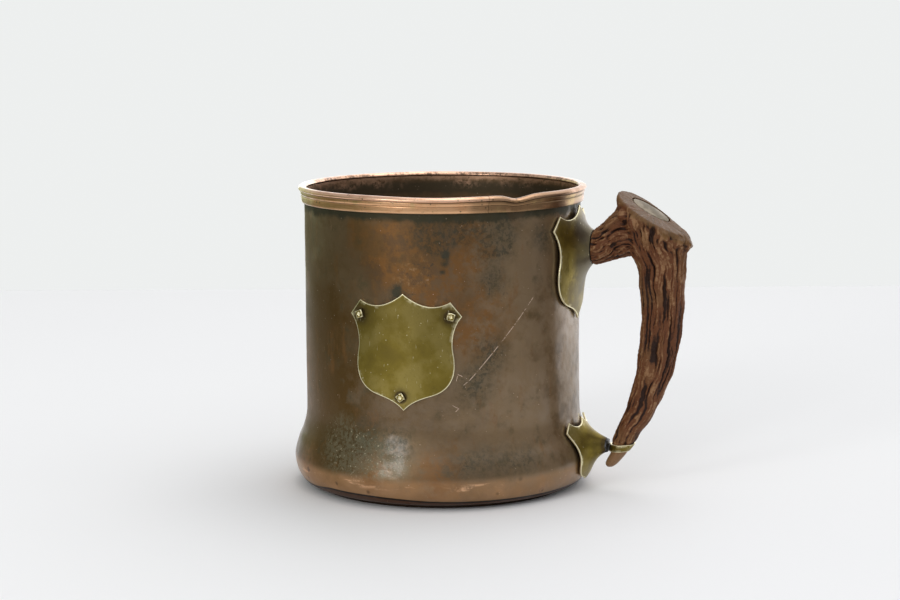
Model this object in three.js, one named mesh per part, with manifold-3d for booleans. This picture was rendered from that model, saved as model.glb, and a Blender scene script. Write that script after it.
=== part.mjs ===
// A copper mug with a flared foot, an applied rim band, a riveted brass shield plaque and an
// antler handle. The handle is held by two raised brass shields: the upper one swells into a
// trumpet socket, and the lower one into a cone that carries a collar round the antler's tip.
// Millimetres, +Z up. The origin is on the mug's axis, on the surface that it stands on. The
// handle points along +X, and the plaque faces -Y, a little towards the handle.
import * as THREE from 'three';
import { LoftGeometry } from 'three/addons/geometries/LoftGeometry.js';
import { mergeVertices } from 'three/addons/utils/BufferGeometryUtils.js';
import Module from 'manifold-3d';

const wasm = await Module();
wasm.setup();

// Driving dimensions
const height = 115; // standing surface to the crest of the rim
const bodyRadius = 52.6; // outside of the straight wall
const wall = 1.0; // copper sheet
const sheet = 0.8; // brass sheet of the plaque and the brackets
const gap = 0.3; // clearance between neighbouring pieces
const around = 64; // steps round the body
const bodyTop = height - 1.6; // edge of the wall, under the rim band

const panRadius = 49.6; // outside of the base pan, inside the foot's turned-in lip
const panFlange = 5.2; // height of the base pan's flange
const panFloor = 1.2; // thickness of the base pan's floor

const plaqueAzimuth = -88; // degrees from the handle
const plaqueHeight = 58; // centre of the plaque above the standing surface
const seamAzimuth = -54.4; // butt joint of the rim band, in degrees from the handle

const upperShieldHeight = 86.4;
const upperTrumpet = { z: 92.4, radius: 6.45, reach: 59.4, spread: 4.8, lean: 1.3 };
const lowerTrumpet = { z: 16.9, radius: 2.8, reach: 64.9, spread: 3.5, lean: 0 };
const tenonRadius = 4.9;
const tenonEnd = 55.5;

const rivetPlaces = { left: [-17.1, 13.5], right: [17.1, 13.5], bottom: [-1, -16.3] };
const rivet = { head: 2.0, dome: 1.2, shank: 0.9, hole: 1.25, tail: 1.7, tailThickness: 0.7 };

const discLength = 15.5;
const discWidth = 8;
const discThickness = 1.0;
const recessDepth = 1.4;

// Finishes
const copper = { color: 0x6b4a35, roughness: 0.42, metalness: 1 };
const brightCopper = { color: 0xb07a55, roughness: 0.35, metalness: 1 };
const brass = { color: 0x7d7233, roughness: 0.38, metalness: 1 };
const solder = { color: 0x55534f, roughness: 0.6, metalness: 0.8 };
const antler = { color: 0x5a3623, roughness: 0.6, metalness: 0 };
const pitch = { color: 0x2a211b, roughness: 0.8, metalness: 0 };
const pewter = { color: 0x9a9284, roughness: 0.45, metalness: 0.9 };

// The outside of the body from its top edge down to the lip that turns in under the foot,
// as (radius, height) points. The flare is an S that swells to its widest near the foot.
function bodyOutline() {
  const flare = new THREE.SplineCurve([
    new THREE.Vector2(bodyRadius, 34),
    new THREE.Vector2(52.8, 27.5),
    new THREE.Vector2(54.2, 21.9),
    new THREE.Vector2(56.1, 17.2),
    new THREE.Vector2(57.4, 11.4),
    new THREE.Vector2(56.5, 6.2),
    new THREE.Vector2(54.6, 2.9),
    new THREE.Vector2(52.6, 1.7),
    new THREE.Vector2(panRadius + 0.35, 2.4),
  ]);
  return [new THREE.Vector2(bodyRadius, bodyTop), ...flare.getPoints(14)];
}

// A line of points moved sideways by a distance: outwards on the body's outline if positive.
function offsetLine(line, distance) {
  return line.map((point, i) => {
    const before = line[Math.max(i - 1, 0)];
    const after = line[Math.min(i + 1, line.length - 1)];
    const along = after.clone().sub(before).normalize();
    return new THREE.Vector2(point.x - along.y * distance, point.y + along.x * distance);
  });
}

// The radius of an outline at a height, on its first stretch from the top that passes it.
function radiusAt(line, z) {
  const i = line.findIndex((point, k) => k > 0 && point.y <= z);
  const above = line[i - 1];
  const below = line[i];
  return THREE.MathUtils.mapLinear(z, above.y, below.y, above.x, below.x);
}

// A closed geometry as a solid for cutting and joining. Triangles that shrink to a line where
// a ring of points meets in one point are dropped.
function solidOf(geometry) {
  const bare = new THREE.BufferGeometry();
  bare.setAttribute('position', geometry.getAttribute('position'));
  bare.setIndex(geometry.getIndex());
  const merged = mergeVertices(bare, 1e-3);
  const corners = [...merged.index.array];
  const triVerts = [];
  for (let i = 0; i < corners.length; i += 3) {
    const [a, b, c] = corners.slice(i, i + 3);
    if (a !== b && b !== c && c !== a) triVerts.push(a, b, c);
  }
  const vertProperties = merged.attributes.position.array;
  return new wasm.Manifold(
    new wasm.Mesh({ numProp: 3, vertProperties, triVerts: new Uint32Array(triVerts) })
  );
}

function geometryOf(solid) {
  const mesh = solid.getMesh();
  const geometry = new THREE.BufferGeometry();
  geometry.setAttribute('position', new THREE.BufferAttribute(mesh.vertProperties, 3));
  geometry.setIndex(new THREE.BufferAttribute(mesh.triVerts, 1));
  return geometry;
}

// A closed (radius, height) profile turned about the mug's axis.
function turned(profile, steps = around) {
  const closed = [...profile, profile[0]];
  return new THREE.LatheGeometry(closed, steps).rotateX(Math.PI / 2);
}

// A (height, radius) profile turned about the X axis; it starts and ends on that axis.
function turnedAboutX(profile, steps = 24) {
  const points = profile.map(([x, radius]) => new THREE.Vector2(radius, x));
  return new THREE.LatheGeometry(points, steps).rotateZ(-Math.PI / 2);
}

// An ellipse of points about a centre, in the plane of two directions.
function ring(centre, across, up, halfAcross, halfUp, count = 24) {
  return Array.from({ length: count }, (_, i) => {
    const turn = (2 * Math.PI * i) / count;
    return centre
      .clone()
      .addScaledVector(across, halfAcross * Math.cos(turn))
      .addScaledVector(up, halfUp * Math.sin(turn));
  });
}

// Copper body

const outside = bodyOutline();

function bodyShell() {
  const inside = offsetLine(outside, -wall);
  const shell = turned([...outside, ...inside.reverse()].reverse());
  return geometryOf(solidOf(shell).subtract(rivetHoles()));
}

function basePan() {
  const inner = panRadius - wall;
  const profile = [
    [0, 0],
    [panRadius - 0.6, 0],
    [panRadius, 0.6],
    [panRadius, panFlange],
    [inner, panFlange],
    [inner, panFloor],
    [0, panFloor],
  ];
  const points = profile.map(([radius, z]) => new THREE.Vector2(radius, z));
  return new THREE.LatheGeometry(points, around).rotateX(Math.PI / 2);
}

// A fillet of solder in the corner between the pan's flange and the foot's lip.
function baseSolder() {
  const inner = panRadius + gap;
  const corner = [
    [inner, panFlange - 0.2],
    [inner, 3.8],
    [inner + 1.5, 3.5],
  ];
  return turned(corner.map(([radius, z]) => new THREE.Vector2(radius, z)));
}

// A moulded strip bent round the mouth and over its edge, with its ends butted together.
function rimBand() {
  const profile = [
    [52.95, 113.75],
    [51.8, 113.9],
    [52.1, 114.5],
    [52.8, 114.9],
    [53.7, height],
    [54.5, 114.6],
    [54.9, 113.6],
    [54.85, 112.8],
    [54.3, 111.7],
    [53.75, 110.9],
    [53.65, 109.8],
    [53.35, 108.4],
    [52.95, 108.6],
  ];
  const butt = 0.15 / bodyRadius;
  const start = THREE.MathUtils.degToRad(seamAzimuth) + butt;
  const sweep = 2 * Math.PI - 2 * butt;
  const sections = Array.from({ length: around + 1 }, (_, i) => {
    const turn = start + (sweep * i) / around;
    return profile.map(
      ([radius, z]) => new THREE.Vector3(radius * Math.cos(turn), radius * Math.sin(turn), z)
    );
  });
  return new LoftGeometry(sections, { capStart: true, capEnd: true });
}

// Brass shields

// The right half of a shield from its apex to its tip. Each step is a Bezier curve of two
// control points and an end point, or the end of a straight edge, in (width, height).
const shieldHalf = {
  apex: [0, 21.7],
  steps: [
    [4.5, 18.2, 10.5, 15, 17.4, 18.8],
    [21.7, 13.5],
    [18.4, 9.8, 17.6, 4.5, 18.5, -0.2],
    [19.6, -6, 18.9, -13, 10.9, -15.5],
    [6.5, -16.9, 3.5, -17.6, 0, -21.2],
  ],
};
const smallShieldHalf = {
  apex: [0, 27.5],
  steps: [
    [2.5, 25.2, 7, 23.2, 11.2, 26.8],
    [14.6, 23.4],
    [12.2, 19.8, 10.8, 16, 11.1, 11.2],
    [11.2, 7, 8.2, 5.6, 5, 4.9],
    [3, 4.4, 1.5, 3.8, 0, 3.1],
  ],
};

function shieldOutline({ apex, steps }, perCurve = 5) {
  const path = new THREE.Path();
  path.moveTo(...apex);
  for (const step of steps) {
    if (step.length === 2) path.lineTo(...step);
    else path.bezierCurveTo(...step);
  }
  const right = path.curves.flatMap((curve) => {
    const count = curve.isLineCurve ? 2 : perCurve;
    return curve.getPoints(count).slice(0, -1);
  });
  const tip = path.currentPoint.clone();
  const left = right
    .slice(1)
    .reverse()
    .map((point) => new THREE.Vector2(-point.x, point.y));
  return [...right, tip, ...left];
}

const sheetOutside = offsetLine(outside, gap + sheet);

// How far out along X the outer face of a sheet lies: on the wall, and drawn out near a
// trumpet to its flat mouth.
function sheetFace(y, z, trumpet) {
  const radius = radiusAt(sheetOutside, z);
  const onWall = Math.sqrt(radius * radius - y * y);
  if (!trumpet) return onWall;
  const away = Math.hypot(y, z - trumpet.z);
  const spread = trumpet.spread - (trumpet.lean * (z - trumpet.z)) / away;
  const rise = Math.min(1, Math.exp((trumpet.radius - away) / spread));
  return onWall * (1 - rise) + trumpet.reach * rise;
}

// The point of the sheet's outer face at (y, z), and the point of its inner face under it.
function sheetPoints(y, z, trumpet) {
  const step = 0.05;
  const x = sheetFace(y, z, trumpet);
  const slopeY = (sheetFace(y + step, z, trumpet) - x) / step;
  const slopeZ = (sheetFace(y, z + step, trumpet) - x) / step;
  const outer = new THREE.Vector3(x, y, z);
  const normal = new THREE.Vector3(1, -slopeY, -slopeZ).normalize();
  return { outer, inner: outer.clone().addScaledVector(normal, -sheet) };
}

// A sheet with a shield outline that lies on the body around +X. Its rings run from the
// trumpet's mouth, or from its middle, out to the outline and back inside.
function shieldSheet(half, centreHeight, trumpet) {
  const outline = shieldOutline(half).map(
    (point) => new THREE.Vector2(bodyRadius * Math.sin(point.x / bodyRadius), point.y + centreHeight)
  );
  const middle = new THREE.Vector2(0, trumpet ? trumpet.z : centreHeight);
  const mouth = trumpet ? trumpet.radius : 0;
  const steps = trumpet ? 7 : 3;
  const outerRings = [];
  const innerRings = [];
  for (let k = 0; k <= steps; k++) {
    const share = trumpet ? (k / steps) ** 1.7 : k / steps;
    const points = outline.map((edge) => {
      const start = edge.clone().sub(middle).setLength(mouth).add(middle);
      const place = start.lerp(edge, share);
      return sheetPoints(place.x, place.y, trumpet);
    });
    outerRings.push(points.map((point) => point.outer));
    innerRings.push(points.map((point) => point.inner));
  }
  const sections = [...outerRings, ...innerRings.reverse()];
  return new LoftGeometry(trumpet ? [...sections, sections[0]] : sections);
}

function shieldPlaque() {
  const plate = shieldSheet(shieldHalf, plaqueHeight, null);
  plate.rotateZ(THREE.MathUtils.degToRad(plaqueAzimuth));
  return geometryOf(solidOf(plate).subtract(rivetHoles()));
}

// Moves a piece made along +X, with its middle at the origin, to a place on the plaque.
function placeOnPlaque(geometry, [width, rise], radius) {
  const turn = THREE.MathUtils.degToRad(plaqueAzimuth) + width / bodyRadius;
  return geometry.translate(radius, 0, plaqueHeight + rise).rotateZ(turn);
}

// A rivet with a domed head, a shank through the plaque and the wall, and a hammered tail.
function plaqueRivet(place) {
  const face = bodyRadius + gap + sheet + gap;
  const tailFace = bodyRadius - wall - gap;
  const tailEnd = tailFace - rivet.tailThickness;
  const profile = [
    [tailEnd, 0],
    [tailEnd, rivet.tail - 0.3],
    [tailFace, rivet.tail],
    [tailFace, rivet.shank],
    [face, rivet.shank],
    [face, rivet.head],
    [face + rivet.dome * 0.6, rivet.head * 0.8],
    [face + rivet.dome, rivet.head * 0.4],
    [face + rivet.dome, 0],
  ];
  return placeOnPlaque(turnedAboutX(profile, 10), place, 0);
}

function rivetHoles() {
  const holes = Object.values(rivetPlaces).map((place) => {
    const drill = new THREE.CylinderGeometry(rivet.hole, rivet.hole, 8, 12).rotateZ(Math.PI / 2);
    return solidOf(placeOnPlaque(drill, place, bodyRadius));
  });
  return holes.reduce((all, hole) => all.add(hole));
}

// Pitch that fills the trumpet behind the antler's tenon, with a blind hole for it.
function socketCement() {
  const bore = tenonRadius + gap;
  const profile = [
    [bodyRadius + 0.7, 0],
    [bodyRadius + 0.7, 9],
    [54.6, 8.6],
    [56.4, 7],
    [58, 5.9],
    [59, 5.4],
    [59, bore],
    [tenonEnd - gap, bore],
    [tenonEnd - gap, 0],
  ];
  return turnedAboutX(profile).translate(0, 0, upperTrumpet.z);
}

// A plug of solder from inside the cone's mouth to the collar.
function collarSolder() {
  const mouth = lowerTrumpet.reach;
  const profile = [
    [mouth - 2, 0],
    [mouth - 2, 1.5],
    [mouth + gap, 1.5],
    [mouth + gap, 2.7],
    [mouth + 0.7, 2.4],
    [mouth + 0.7, 0],
  ];
  return turnedAboutX(profile, 16).translate(0, 0, lowerTrumpet.z);
}

// Antler

// The beam from its tip up to the cut crown: centre x and z, half-width towards the handle's
// front, half-width across, the section's slope and roll in degrees, and how much its far
// side is flattened, most at the outer end.
const beamStations = [
  [66.3, 8.7, 0.9, 0.9, 0, 0, 0],
  [66.9, 9.8, 2, 1.9, 0, 0, 0],
  [68.1, 11.7, 2.6, 2.5, 0, 0, 0],
  [69.4, 13.9, 2.9, 2.9, 0, 0, 0],
  [69.9, 14.9, 3, 3, 0, 0, 0],
  [71.3, 18, 3.9, 3.7, 0, 0, 0],
  [72.1, 19.6, 4.4, 4.1, 0, 0, 0],
  [73.4, 22.2, 4.6, 4.2, 0, 0, 0],
  [76.3, 27.5, 5.4, 4.8, 0, 0, 0],
  [80.7, 38, 6.1, 5.7, 0, 0, 0],
  [84, 50, 7.05, 6.6, 0, 0, 0],
  [85.9, 65, 7.65, 7.2, 0, 0, 0],
  [85.9, 78, 8.2, 7.7, 0, 0, 0],
  [85.5, 86, 9, 8.2, 3, 0, 0],
  [83.7, 91.5, 11.2, 8.8, 8, 3, 0.25],
  [82.5, 98, 14, 9.8, 20, 7, 0.6],
  [82.6, 103.3, 16, 10.6, 29, 10, 1],
  [82.4, 105.2, 15.7, 10.2, 30, 10, 1],
  [82.4, 105.75, 14.9, 9.4, 30.2, 10, 1],
];

// The stub of the brow tine, from inside the beam to the shoulder at the socket: centre x
// and z, half-height and half-width.
const tineStations = [
  [80, 98.2, 7, 6.5],
  [72, 97.3, 8.2, 7.4],
  [67.8, 96, 8, 7.2],
  [64.6, 94.6, 7.5, 7],
  [62, 93.2, 7.1, 6.7],
  [upperTrumpet.reach + gap, upperTrumpet.z, 6.5, 6.4],
];

function smoothStations(stations, between) {
  const times = stations.map((_, i) => i);
  const size = stations[0].length;
  const curve = new THREE.CubicInterpolant(times, stations.flat(), size);
  const count = (stations.length - 1) * between;
  return Array.from({ length: count + 1 }, (_, i) => [...curve.evaluate(i / between)]);
}

// The directions along and across a crown section that slopes down towards +X and rolls
// towards -Y.
function crownAxes(slope, roll) {
  const a = THREE.MathUtils.degToRad(slope);
  const b = THREE.MathUtils.degToRad(roll);
  const along = new THREE.Vector3(Math.cos(a), 0, -Math.sin(a));
  const across = new THREE.Vector3(
    Math.sin(a) * Math.sin(b),
    Math.cos(b),
    Math.cos(a) * Math.sin(b)
  );
  return { along, across };
}

function beam() {
  const sections = smoothStations(beamStations, 2).map(([x, z, half, halfAcross, slope, roll, flat]) => {
    const { along, across } = crownAxes(slope, roll);
    const centre = new THREE.Vector3(x, 0, z);
    return ring(centre, along, across, half, halfAcross).map((point) => {
      const out = point.clone().sub(centre);
      const far = Math.max(out.dot(across), 0);
      const lost = flat * (0.3 + (0.4 * out.dot(along)) / half);
      return point.addScaledVector(across, -far * lost);
    });
  });
  return new LoftGeometry(sections, { capStart: true, capEnd: true });
}

function tine() {
  const up = new THREE.Vector3(0, 0, 1);
  const side = new THREE.Vector3(0, 1, 0);
  const shoulder = upperTrumpet.reach + gap;
  const stub = smoothStations(tineStations, 2).map(([x, z, halfUp, halfSide]) =>
    ring(new THREE.Vector3(x, 0, z), up, side, halfUp, halfSide)
  );
  const tenon = [shoulder - 0.01, tenonEnd].map((x) =>
    ring(new THREE.Vector3(x, 0, upperTrumpet.z), up, side, tenonRadius, tenonRadius)
  );
  return new LoftGeometry([...stub, ...tenon], { capStart: true, capEnd: true });
}

// An oval plate that lies in the crown's cut face, its top at a height above that face.
function crownOval(length, width, thickness, top) {
  const [x, z, , , slope, roll] = beamStations.at(-1);
  const { along, across } = crownAxes(slope, roll);
  const out = new THREE.Vector3().crossVectors(along, across);
  const bevel = 0.25;
  const oval = new THREE.Shape();
  oval.absellipse(0, 0, length / 2 - bevel, width / 2 - bevel, 0, 2 * Math.PI);
  const plate = new THREE.ExtrudeGeometry(oval, {
    depth: thickness - 2 * bevel,
    curveSegments: 20,
    bevelThickness: bevel,
    bevelSize: bevel,
    bevelSegments: 1,
  });
  plate.translate(-1.65, 1.6, top - thickness + bevel);
  const frame = new THREE.Matrix4().makeBasis(along, across, out).setPosition(x, 0, z);
  return plate.applyMatrix4(frame);
}

function antlerHandle() {
  const recess = crownOval(discLength + 2 * gap + 0.2, discWidth + 2 * gap + 0.2, 4, 4 - recessDepth);
  return geometryOf(solidOf(beam()).add(solidOf(tine())).subtract(solidOf(recess)));
}

function crownDisc() {
  return crownOval(discLength, discWidth, discThickness, discThickness + gap - recessDepth);
}

// A tapered band round the tip, following the antler's section.
function tipCollar() {
  const along = new THREE.Vector3(1, 0, 0);
  const across = new THREE.Vector3(0, 1, 0);
  const thickness = 0.7;
  const levels = [
    [70, 15, 3.05 + gap, 3 + gap],
    [71.3, 17.9, 3.9 + gap, 3.7 + gap],
  ];
  const rings = (extra) =>
    levels.map(([x, z, half, halfAcross]) =>
      ring(new THREE.Vector3(x, 0, z), along, across, half + extra, halfAcross + extra)
    );
  const [lowOuter, highOuter] = rings(thickness);
  const [lowInner, highInner] = rings(0.05);
  return new LoftGeometry([lowOuter, highOuter, highInner, lowInner, lowOuter]);
}

// Assembly

const mug = new THREE.Group();

function addPiece(name, geometry, finish) {
  const piece = new THREE.Mesh(geometry, new THREE.MeshStandardMaterial(finish));
  piece.name = name;
  mug.add(piece);
}

addPiece('body_shell', bodyShell(), copper);
addPiece('base_pan', basePan(), copper);
addPiece('base_solder', baseSolder(), solder);
addPiece('rim_band', rimBand(), brightCopper);
addPiece('shield_plaque', shieldPlaque(), brass);
for (const [side, place] of Object.entries(rivetPlaces)) {
  addPiece('plaque_rivet_' + side, plaqueRivet(place), brass);
}
addPiece('upper_bracket', shieldSheet(shieldHalf, upperShieldHeight, upperTrumpet), brass);
addPiece('socket_cement', socketCement(), pitch);
addPiece('antler_handle', antlerHandle(), antler);
addPiece('crown_disc', crownDisc(), pewter);
addPiece('lower_bracket', shieldSheet(smallShieldHalf, 0, lowerTrumpet), brass);
addPiece('collar_solder', collarSolder(), solder);
addPiece('tip_collar', tipCollar(), brass);

export default mug;
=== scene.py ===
"""Copper mug with a shield plaque and an antler handle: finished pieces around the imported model.

Shapes are worked out in millimetres and become meshes in metres. The mug's axis is Z, the handle
points along +X and the plaque faces -Y.
"""

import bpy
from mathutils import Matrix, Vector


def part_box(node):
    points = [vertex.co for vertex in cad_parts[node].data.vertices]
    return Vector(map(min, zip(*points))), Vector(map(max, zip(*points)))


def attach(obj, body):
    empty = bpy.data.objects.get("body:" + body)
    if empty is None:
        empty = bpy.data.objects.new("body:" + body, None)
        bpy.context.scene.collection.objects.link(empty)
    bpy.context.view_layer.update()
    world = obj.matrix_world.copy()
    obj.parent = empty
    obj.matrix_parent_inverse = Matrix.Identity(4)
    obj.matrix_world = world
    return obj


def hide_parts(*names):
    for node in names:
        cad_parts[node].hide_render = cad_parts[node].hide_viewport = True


bl_info = {
    "name": "Antler Handle Mug",
    "version": (1, 0, 0),
    "blender": (4, 5, 0),
    "location": "View3D > Sidebar > Mug",
    "description": "Makes a copper mug with brass shields and an antler handle",
    "category": "Add Mesh",
}

import math

import bpy
import numpy as np
from mathutils import Matrix, Vector, noise

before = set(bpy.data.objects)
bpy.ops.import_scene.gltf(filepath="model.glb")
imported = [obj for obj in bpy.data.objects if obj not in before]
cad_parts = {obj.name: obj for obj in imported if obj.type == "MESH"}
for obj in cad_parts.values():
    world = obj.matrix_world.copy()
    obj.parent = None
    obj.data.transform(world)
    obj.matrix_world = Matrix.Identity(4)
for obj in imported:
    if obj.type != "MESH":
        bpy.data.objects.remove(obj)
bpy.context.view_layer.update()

MM = 0.001
TURN = 2 * math.pi


# Settings


def length(name, description, millimetres):
    return bpy.props.FloatProperty(
        name=name, description=description, default=millimetres * MM, unit="LENGTH"
    )


def colour(name, description, red, green, blue):
    return bpy.props.FloatVectorProperty(
        name=name,
        description=description,
        default=(red, green, blue),
        size=3,
        min=0,
        max=1,
        subtype="COLOR",
    )


def angle(name, description, degrees):
    return bpy.props.FloatProperty(
        name=name, description=description, default=math.radians(degrees), subtype="ANGLE"
    )


class CopperSettings(bpy.types.PropertyGroup):
    wall_radius: length("Wall radius", "Outside of the straight wall", 52.6)
    wall_thickness: length("Wall thickness", "Copper sheet", 1.0)
    waviness: length("Waviness", "How far the wall wanders from a true cylinder", 0.16)
    dent_depth: length("Dent depth", "How far the rim dips at its dent", 1.5)
    dent_place: angle("Dent place", "Where the rim is dented, from the handle", -41.8)
    seam_place: angle("Seam place", "Where the rim band's ends meet, from the handle", -54.4)
    brown: colour("Brown", "Brown patina of the wall", 0.16, 0.104, 0.052)
    warm: colour("Warm", "Orange patches where the patina is thin", 0.21, 0.096, 0.026)
    # Olive also paints the reflection of dark plants over the far side of the wall.
    olive: colour("Olive", "Olive patina", 0.105, 0.054, 0.009)
    greyed: colour("Greyed", "Grey-brown patina towards the handle", 0.245, 0.165, 0.087)
    shaded: colour("Shaded", "Dark patina under the mouth", 0.085, 0.047, 0.018)
    smudge: colour("Smudge", "Small soft smudges", 0.075, 0.065, 0.032)
    glint: colour("Glint", "Thin patina between streaks", 0.27, 0.17, 0.10)
    crust: colour("Crust", "Raised rusty crust", 0.30, 0.18, 0.08)
    stain: colour("Stain", "Green-black stains", 0.04, 0.042, 0.026)
    lime: colour("Lime", "Lime scale over the foot", 0.19, 0.178, 0.115)
    pit: colour("Pit", "Pits in the lime scale", 0.022, 0.024, 0.016)
    fleck: colour("Fleck", "Pale flecks in the lime scale", 0.5, 0.44, 0.3)
    # The foot's copper is rubbed copper, and partly a painted reflection of the bright floor.
    foot: colour("Foot", "Rubbed copper of the foot", 0.47, 0.255, 0.112)
    rub: colour("Rub", "Bright rubs round the foot", 0.85, 0.5, 0.28)
    # Painted highlight: the brightest pale band just above the foot.
    painted_highlight: colour("Shine", "Brightest rub, above the foot", 0.88, 0.72, 0.54)
    spot: colour("Spot", "Dark spots on the foot", 0.05, 0.03, 0.018)
    rust: colour("Rust", "Rusty stains above the foot", 0.26, 0.11, 0.03)
    # Painted shade under the foot: a brown strip, and black painted shadow lines beside it.
    under: colour("Under", "Brown strip under the foot", 0.085, 0.036, 0.019)
    painted_shadow_line: colour("Crevice", "Black lines beside that strip", 0.014, 0.01, 0.008)
    mouth: colour("Mouth", "Bright copper inside the mouth", 0.58, 0.35, 0.22)
    lining: colour("Lining", "Patina of the inside", 0.24, 0.13, 0.07)
    scratch: colour("Scratch", "Scratches down to the copper", 0.80, 0.60, 0.46)


class RimSettings(bpy.types.PropertyGroup):
    edge: colour("Edge", "Rubbed copper of the edge", 0.90, 0.57, 0.385)
    band: colour("Band", "Darker copper of the moulding", 0.74, 0.41, 0.185)
    # This pale copper is a painted highlight on the far end of the rim.
    pale: colour("Pale", "Pale copper on the side away from the handle", 0.98, 0.8, 0.56)
    line: colour("Line", "Brown lines along the moulding", 0.52, 0.23, 0.09)
    # Dull copper beside the handle is patina, and also painted shade that dims the rim's reflection of
    # the bright backdrop.
    aged: colour("Aged", "Dull copper beside the handle", 0.25, 0.15, 0.075)
    golden: colour("Golden", "Golden clouds on the moulding", 0.50, 0.37, 0.15)
    grime: colour("Grime", "Grime inside the edge", 0.12, 0.07, 0.045)


class BrassSettings(bpy.types.PropertyGroup):
    sheet: length("Sheet", "Thickness of the brass sheet", 0.8)
    face: colour("Face", "Aged face of the brass", 0.22, 0.165, 0.029)
    cloudy: colour("Cloudy", "Paler clouds on the face", 0.34, 0.27, 0.085)
    dark: colour("Dark", "Tarnish", 0.085, 0.06, 0.022)
    fresh: colour("Fresh", "Fresher brass beside the trumpet", 0.42, 0.33, 0.08)
    # The greyish tint on the trumpet is a painted reflection of white surroundings seen at a grazing
    # angle.
    painted_white_reflection: colour("Grey", "Grey film on the trumpet", 0.21, 0.19, 0.15)
    worn: colour("Worn", "Bright worn edges", 0.94, 0.87, 0.58)


class AntlerSettings(bpy.types.PropertyGroup):
    ridge: length("Ridge height", "Height of the ridges along the beam", 0.42)
    grain: length("Grain", "Size of the cells that the beam is joined from", 0.3)
    groove: colour("Groove", "Deep grooves", 0.022, 0.008, 0.004)
    skin: colour("Skin", "Red-brown skin of the beam", 0.13, 0.046, 0.017)
    tan: colour("Tan", "Lighter clouds in the skin", 0.16, 0.078, 0.03)
    crest: colour("Crest", "Rubbed crests of the ridges", 0.31, 0.17, 0.078)
    speck: colour("Speck", "Pale specks on the ridges", 0.42, 0.30, 0.19)
    polish: colour("Polish", "Polished crown rim", 0.14, 0.071, 0.022)
    tip: colour("Tip", "Polished tip", 0.25, 0.14, 0.07)
    dirt: colour("Dirt", "Dirt on the polished parts", 0.05, 0.022, 0.012)


class StageSettings(bpy.types.PropertyGroup):
    distance: length("Distance", "From the mug's axis to the camera", 814.9)
    height: length("Height", "Camera above the floor", 188.9)
    azimuth: angle("Azimuth", "Camera's direction, from the plaque side to the handle", 17.6)
    pitch: angle("Pitch", "How far the camera looks down", 8.31)
    pan: angle("Pan", "How far the camera looks past the axis", 0.2)
    roll: angle("Roll", "Camera roll", -0.28)
    lens: bpy.props.FloatProperty(
        name="Lens", description="Focal length", default=85.58, subtype="DISTANCE_CAMERA"
    )


SETTINGS = {
    "mug_copper": CopperSettings,
    "mug_rim": RimSettings,
    "mug_brass": BrassSettings,
    "mug_antler": AntlerSettings,
    "mug_stage": StageSettings,
}


# Shader maths


def add_node(tree, kind, settings=None, inputs=None, output=0):
    """Adds any node: its settings first, then the values or links of its sockets."""
    made = tree.nodes.new(kind)
    for name, value in (settings or {}).items():
        setattr(made, name, value)
    for key, value in (inputs or {}).items():
        if isinstance(value, Wire):
            tree.links.new(value.socket, made.inputs[key])
        else:
            made.inputs[key].default_value = value
    return Wire(made.outputs[output]) if made.outputs else None


def opaque(paint):
    """A colour as a node takes it; a wire stays as it is."""
    return paint if isinstance(paint, Wire) else (*paint, 1)


class Wire:
    """A shader socket that takes part in Python expressions: operators add Math nodes."""

    def __init__(self, socket):
        self.socket = socket

    def node(self, kind, settings=None, inputs=None, output=0):
        return add_node(self.socket.id_data, kind, settings, inputs, output)

    def math(self, operation, *values, clamp=False):
        settings = {"operation": operation, "use_clamp": clamp}
        return self.node("ShaderNodeMath", settings, dict(enumerate(values)))

    def __add__(self, other):
        return self.math("ADD", self, other)

    def __radd__(self, other):
        return self.math("ADD", other, self)

    def __sub__(self, other):
        return self.math("SUBTRACT", self, other)

    def __rsub__(self, other):
        return self.math("SUBTRACT", other, self)

    def __mul__(self, other):
        return self.math("MULTIPLY", self, other)

    def __rmul__(self, other):
        return self.math("MULTIPLY", other, self)

    def __truediv__(self, other):
        return self.math("DIVIDE", self, other)

    def __pow__(self, other):
        return self.math("POWER", self, other)

    def clamp(self):
        return self.math("ADD", self, 0.0, clamp=True)

    def larger(self, other):
        return self.math("MAXIMUM", self, other)

    def smaller(self, other):
        return self.math("MINIMUM", self, other)

    def ramp(self, low, high):
        """0 up to low, 1 from high on, and a soft step between; high may be under low."""
        inputs = {0: self, 1: low, 2: high}
        if low > high:
            inputs = {0: self, 1: high, 2: low, 3: 1.0, 4: 0.0}
        settings = {"interpolation_type": "SMOOTHSTEP"}
        return self.node("ShaderNodeMapRange", settings, inputs)

    def cloud(self, size, detail=3.0, roughness=0.5, shift=0.0, stretch=(1, 1, 1)):
        """Noise of a size in millimetres on this position, from about 0.2 to 0.8."""
        settings = {"vector_type": "POINT"}
        scale = tuple(1 / (size * part) for part in stretch)
        inputs = {"Vector": self, "Location": (shift, shift * 1.7, -shift), "Scale": scale}
        moved = self.node("ShaderNodeMapping", settings, inputs)
        inputs = {"Vector": moved, "Scale": 1.0, "Detail": detail, "Roughness": roughness}
        return self.node("ShaderNodeTexNoise", None, inputs)

    def cells(self, size, shift=0.0):
        """Distance to the nearest of scattered points, in cells of a size in millimetres."""
        settings = {"vector_type": "POINT"}
        inputs = {"Vector": self, "Location": (shift, -shift, shift), "Scale": (1 / size,) * 3}
        moved = self.node("ShaderNodeMapping", settings, inputs)
        return self.node("ShaderNodeTexVoronoi", None, {"Vector": moved, "Scale": 1.0})

    def blend(self, under, over):
        """A colour laid over another by this share."""
        settings = {"data_type": "RGBA", "clamp_factor": True}
        return self.node("ShaderNodeMix", settings, {0: self, 6: opaque(under), 7: opaque(over)}, 2)

    def tint(self, over, share):
        """This colour with another laid over it by a share."""
        return share.blend(self, over)

    def axis(self, output):
        return self.node("ShaderNodeSeparateXYZ", None, {0: self}, output)

    def away_from(self, point):
        settings = {"operation": "DISTANCE"}
        return self.node("ShaderNodeVectorMath", settings, {0: self, 1: point}, "Value")


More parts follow.
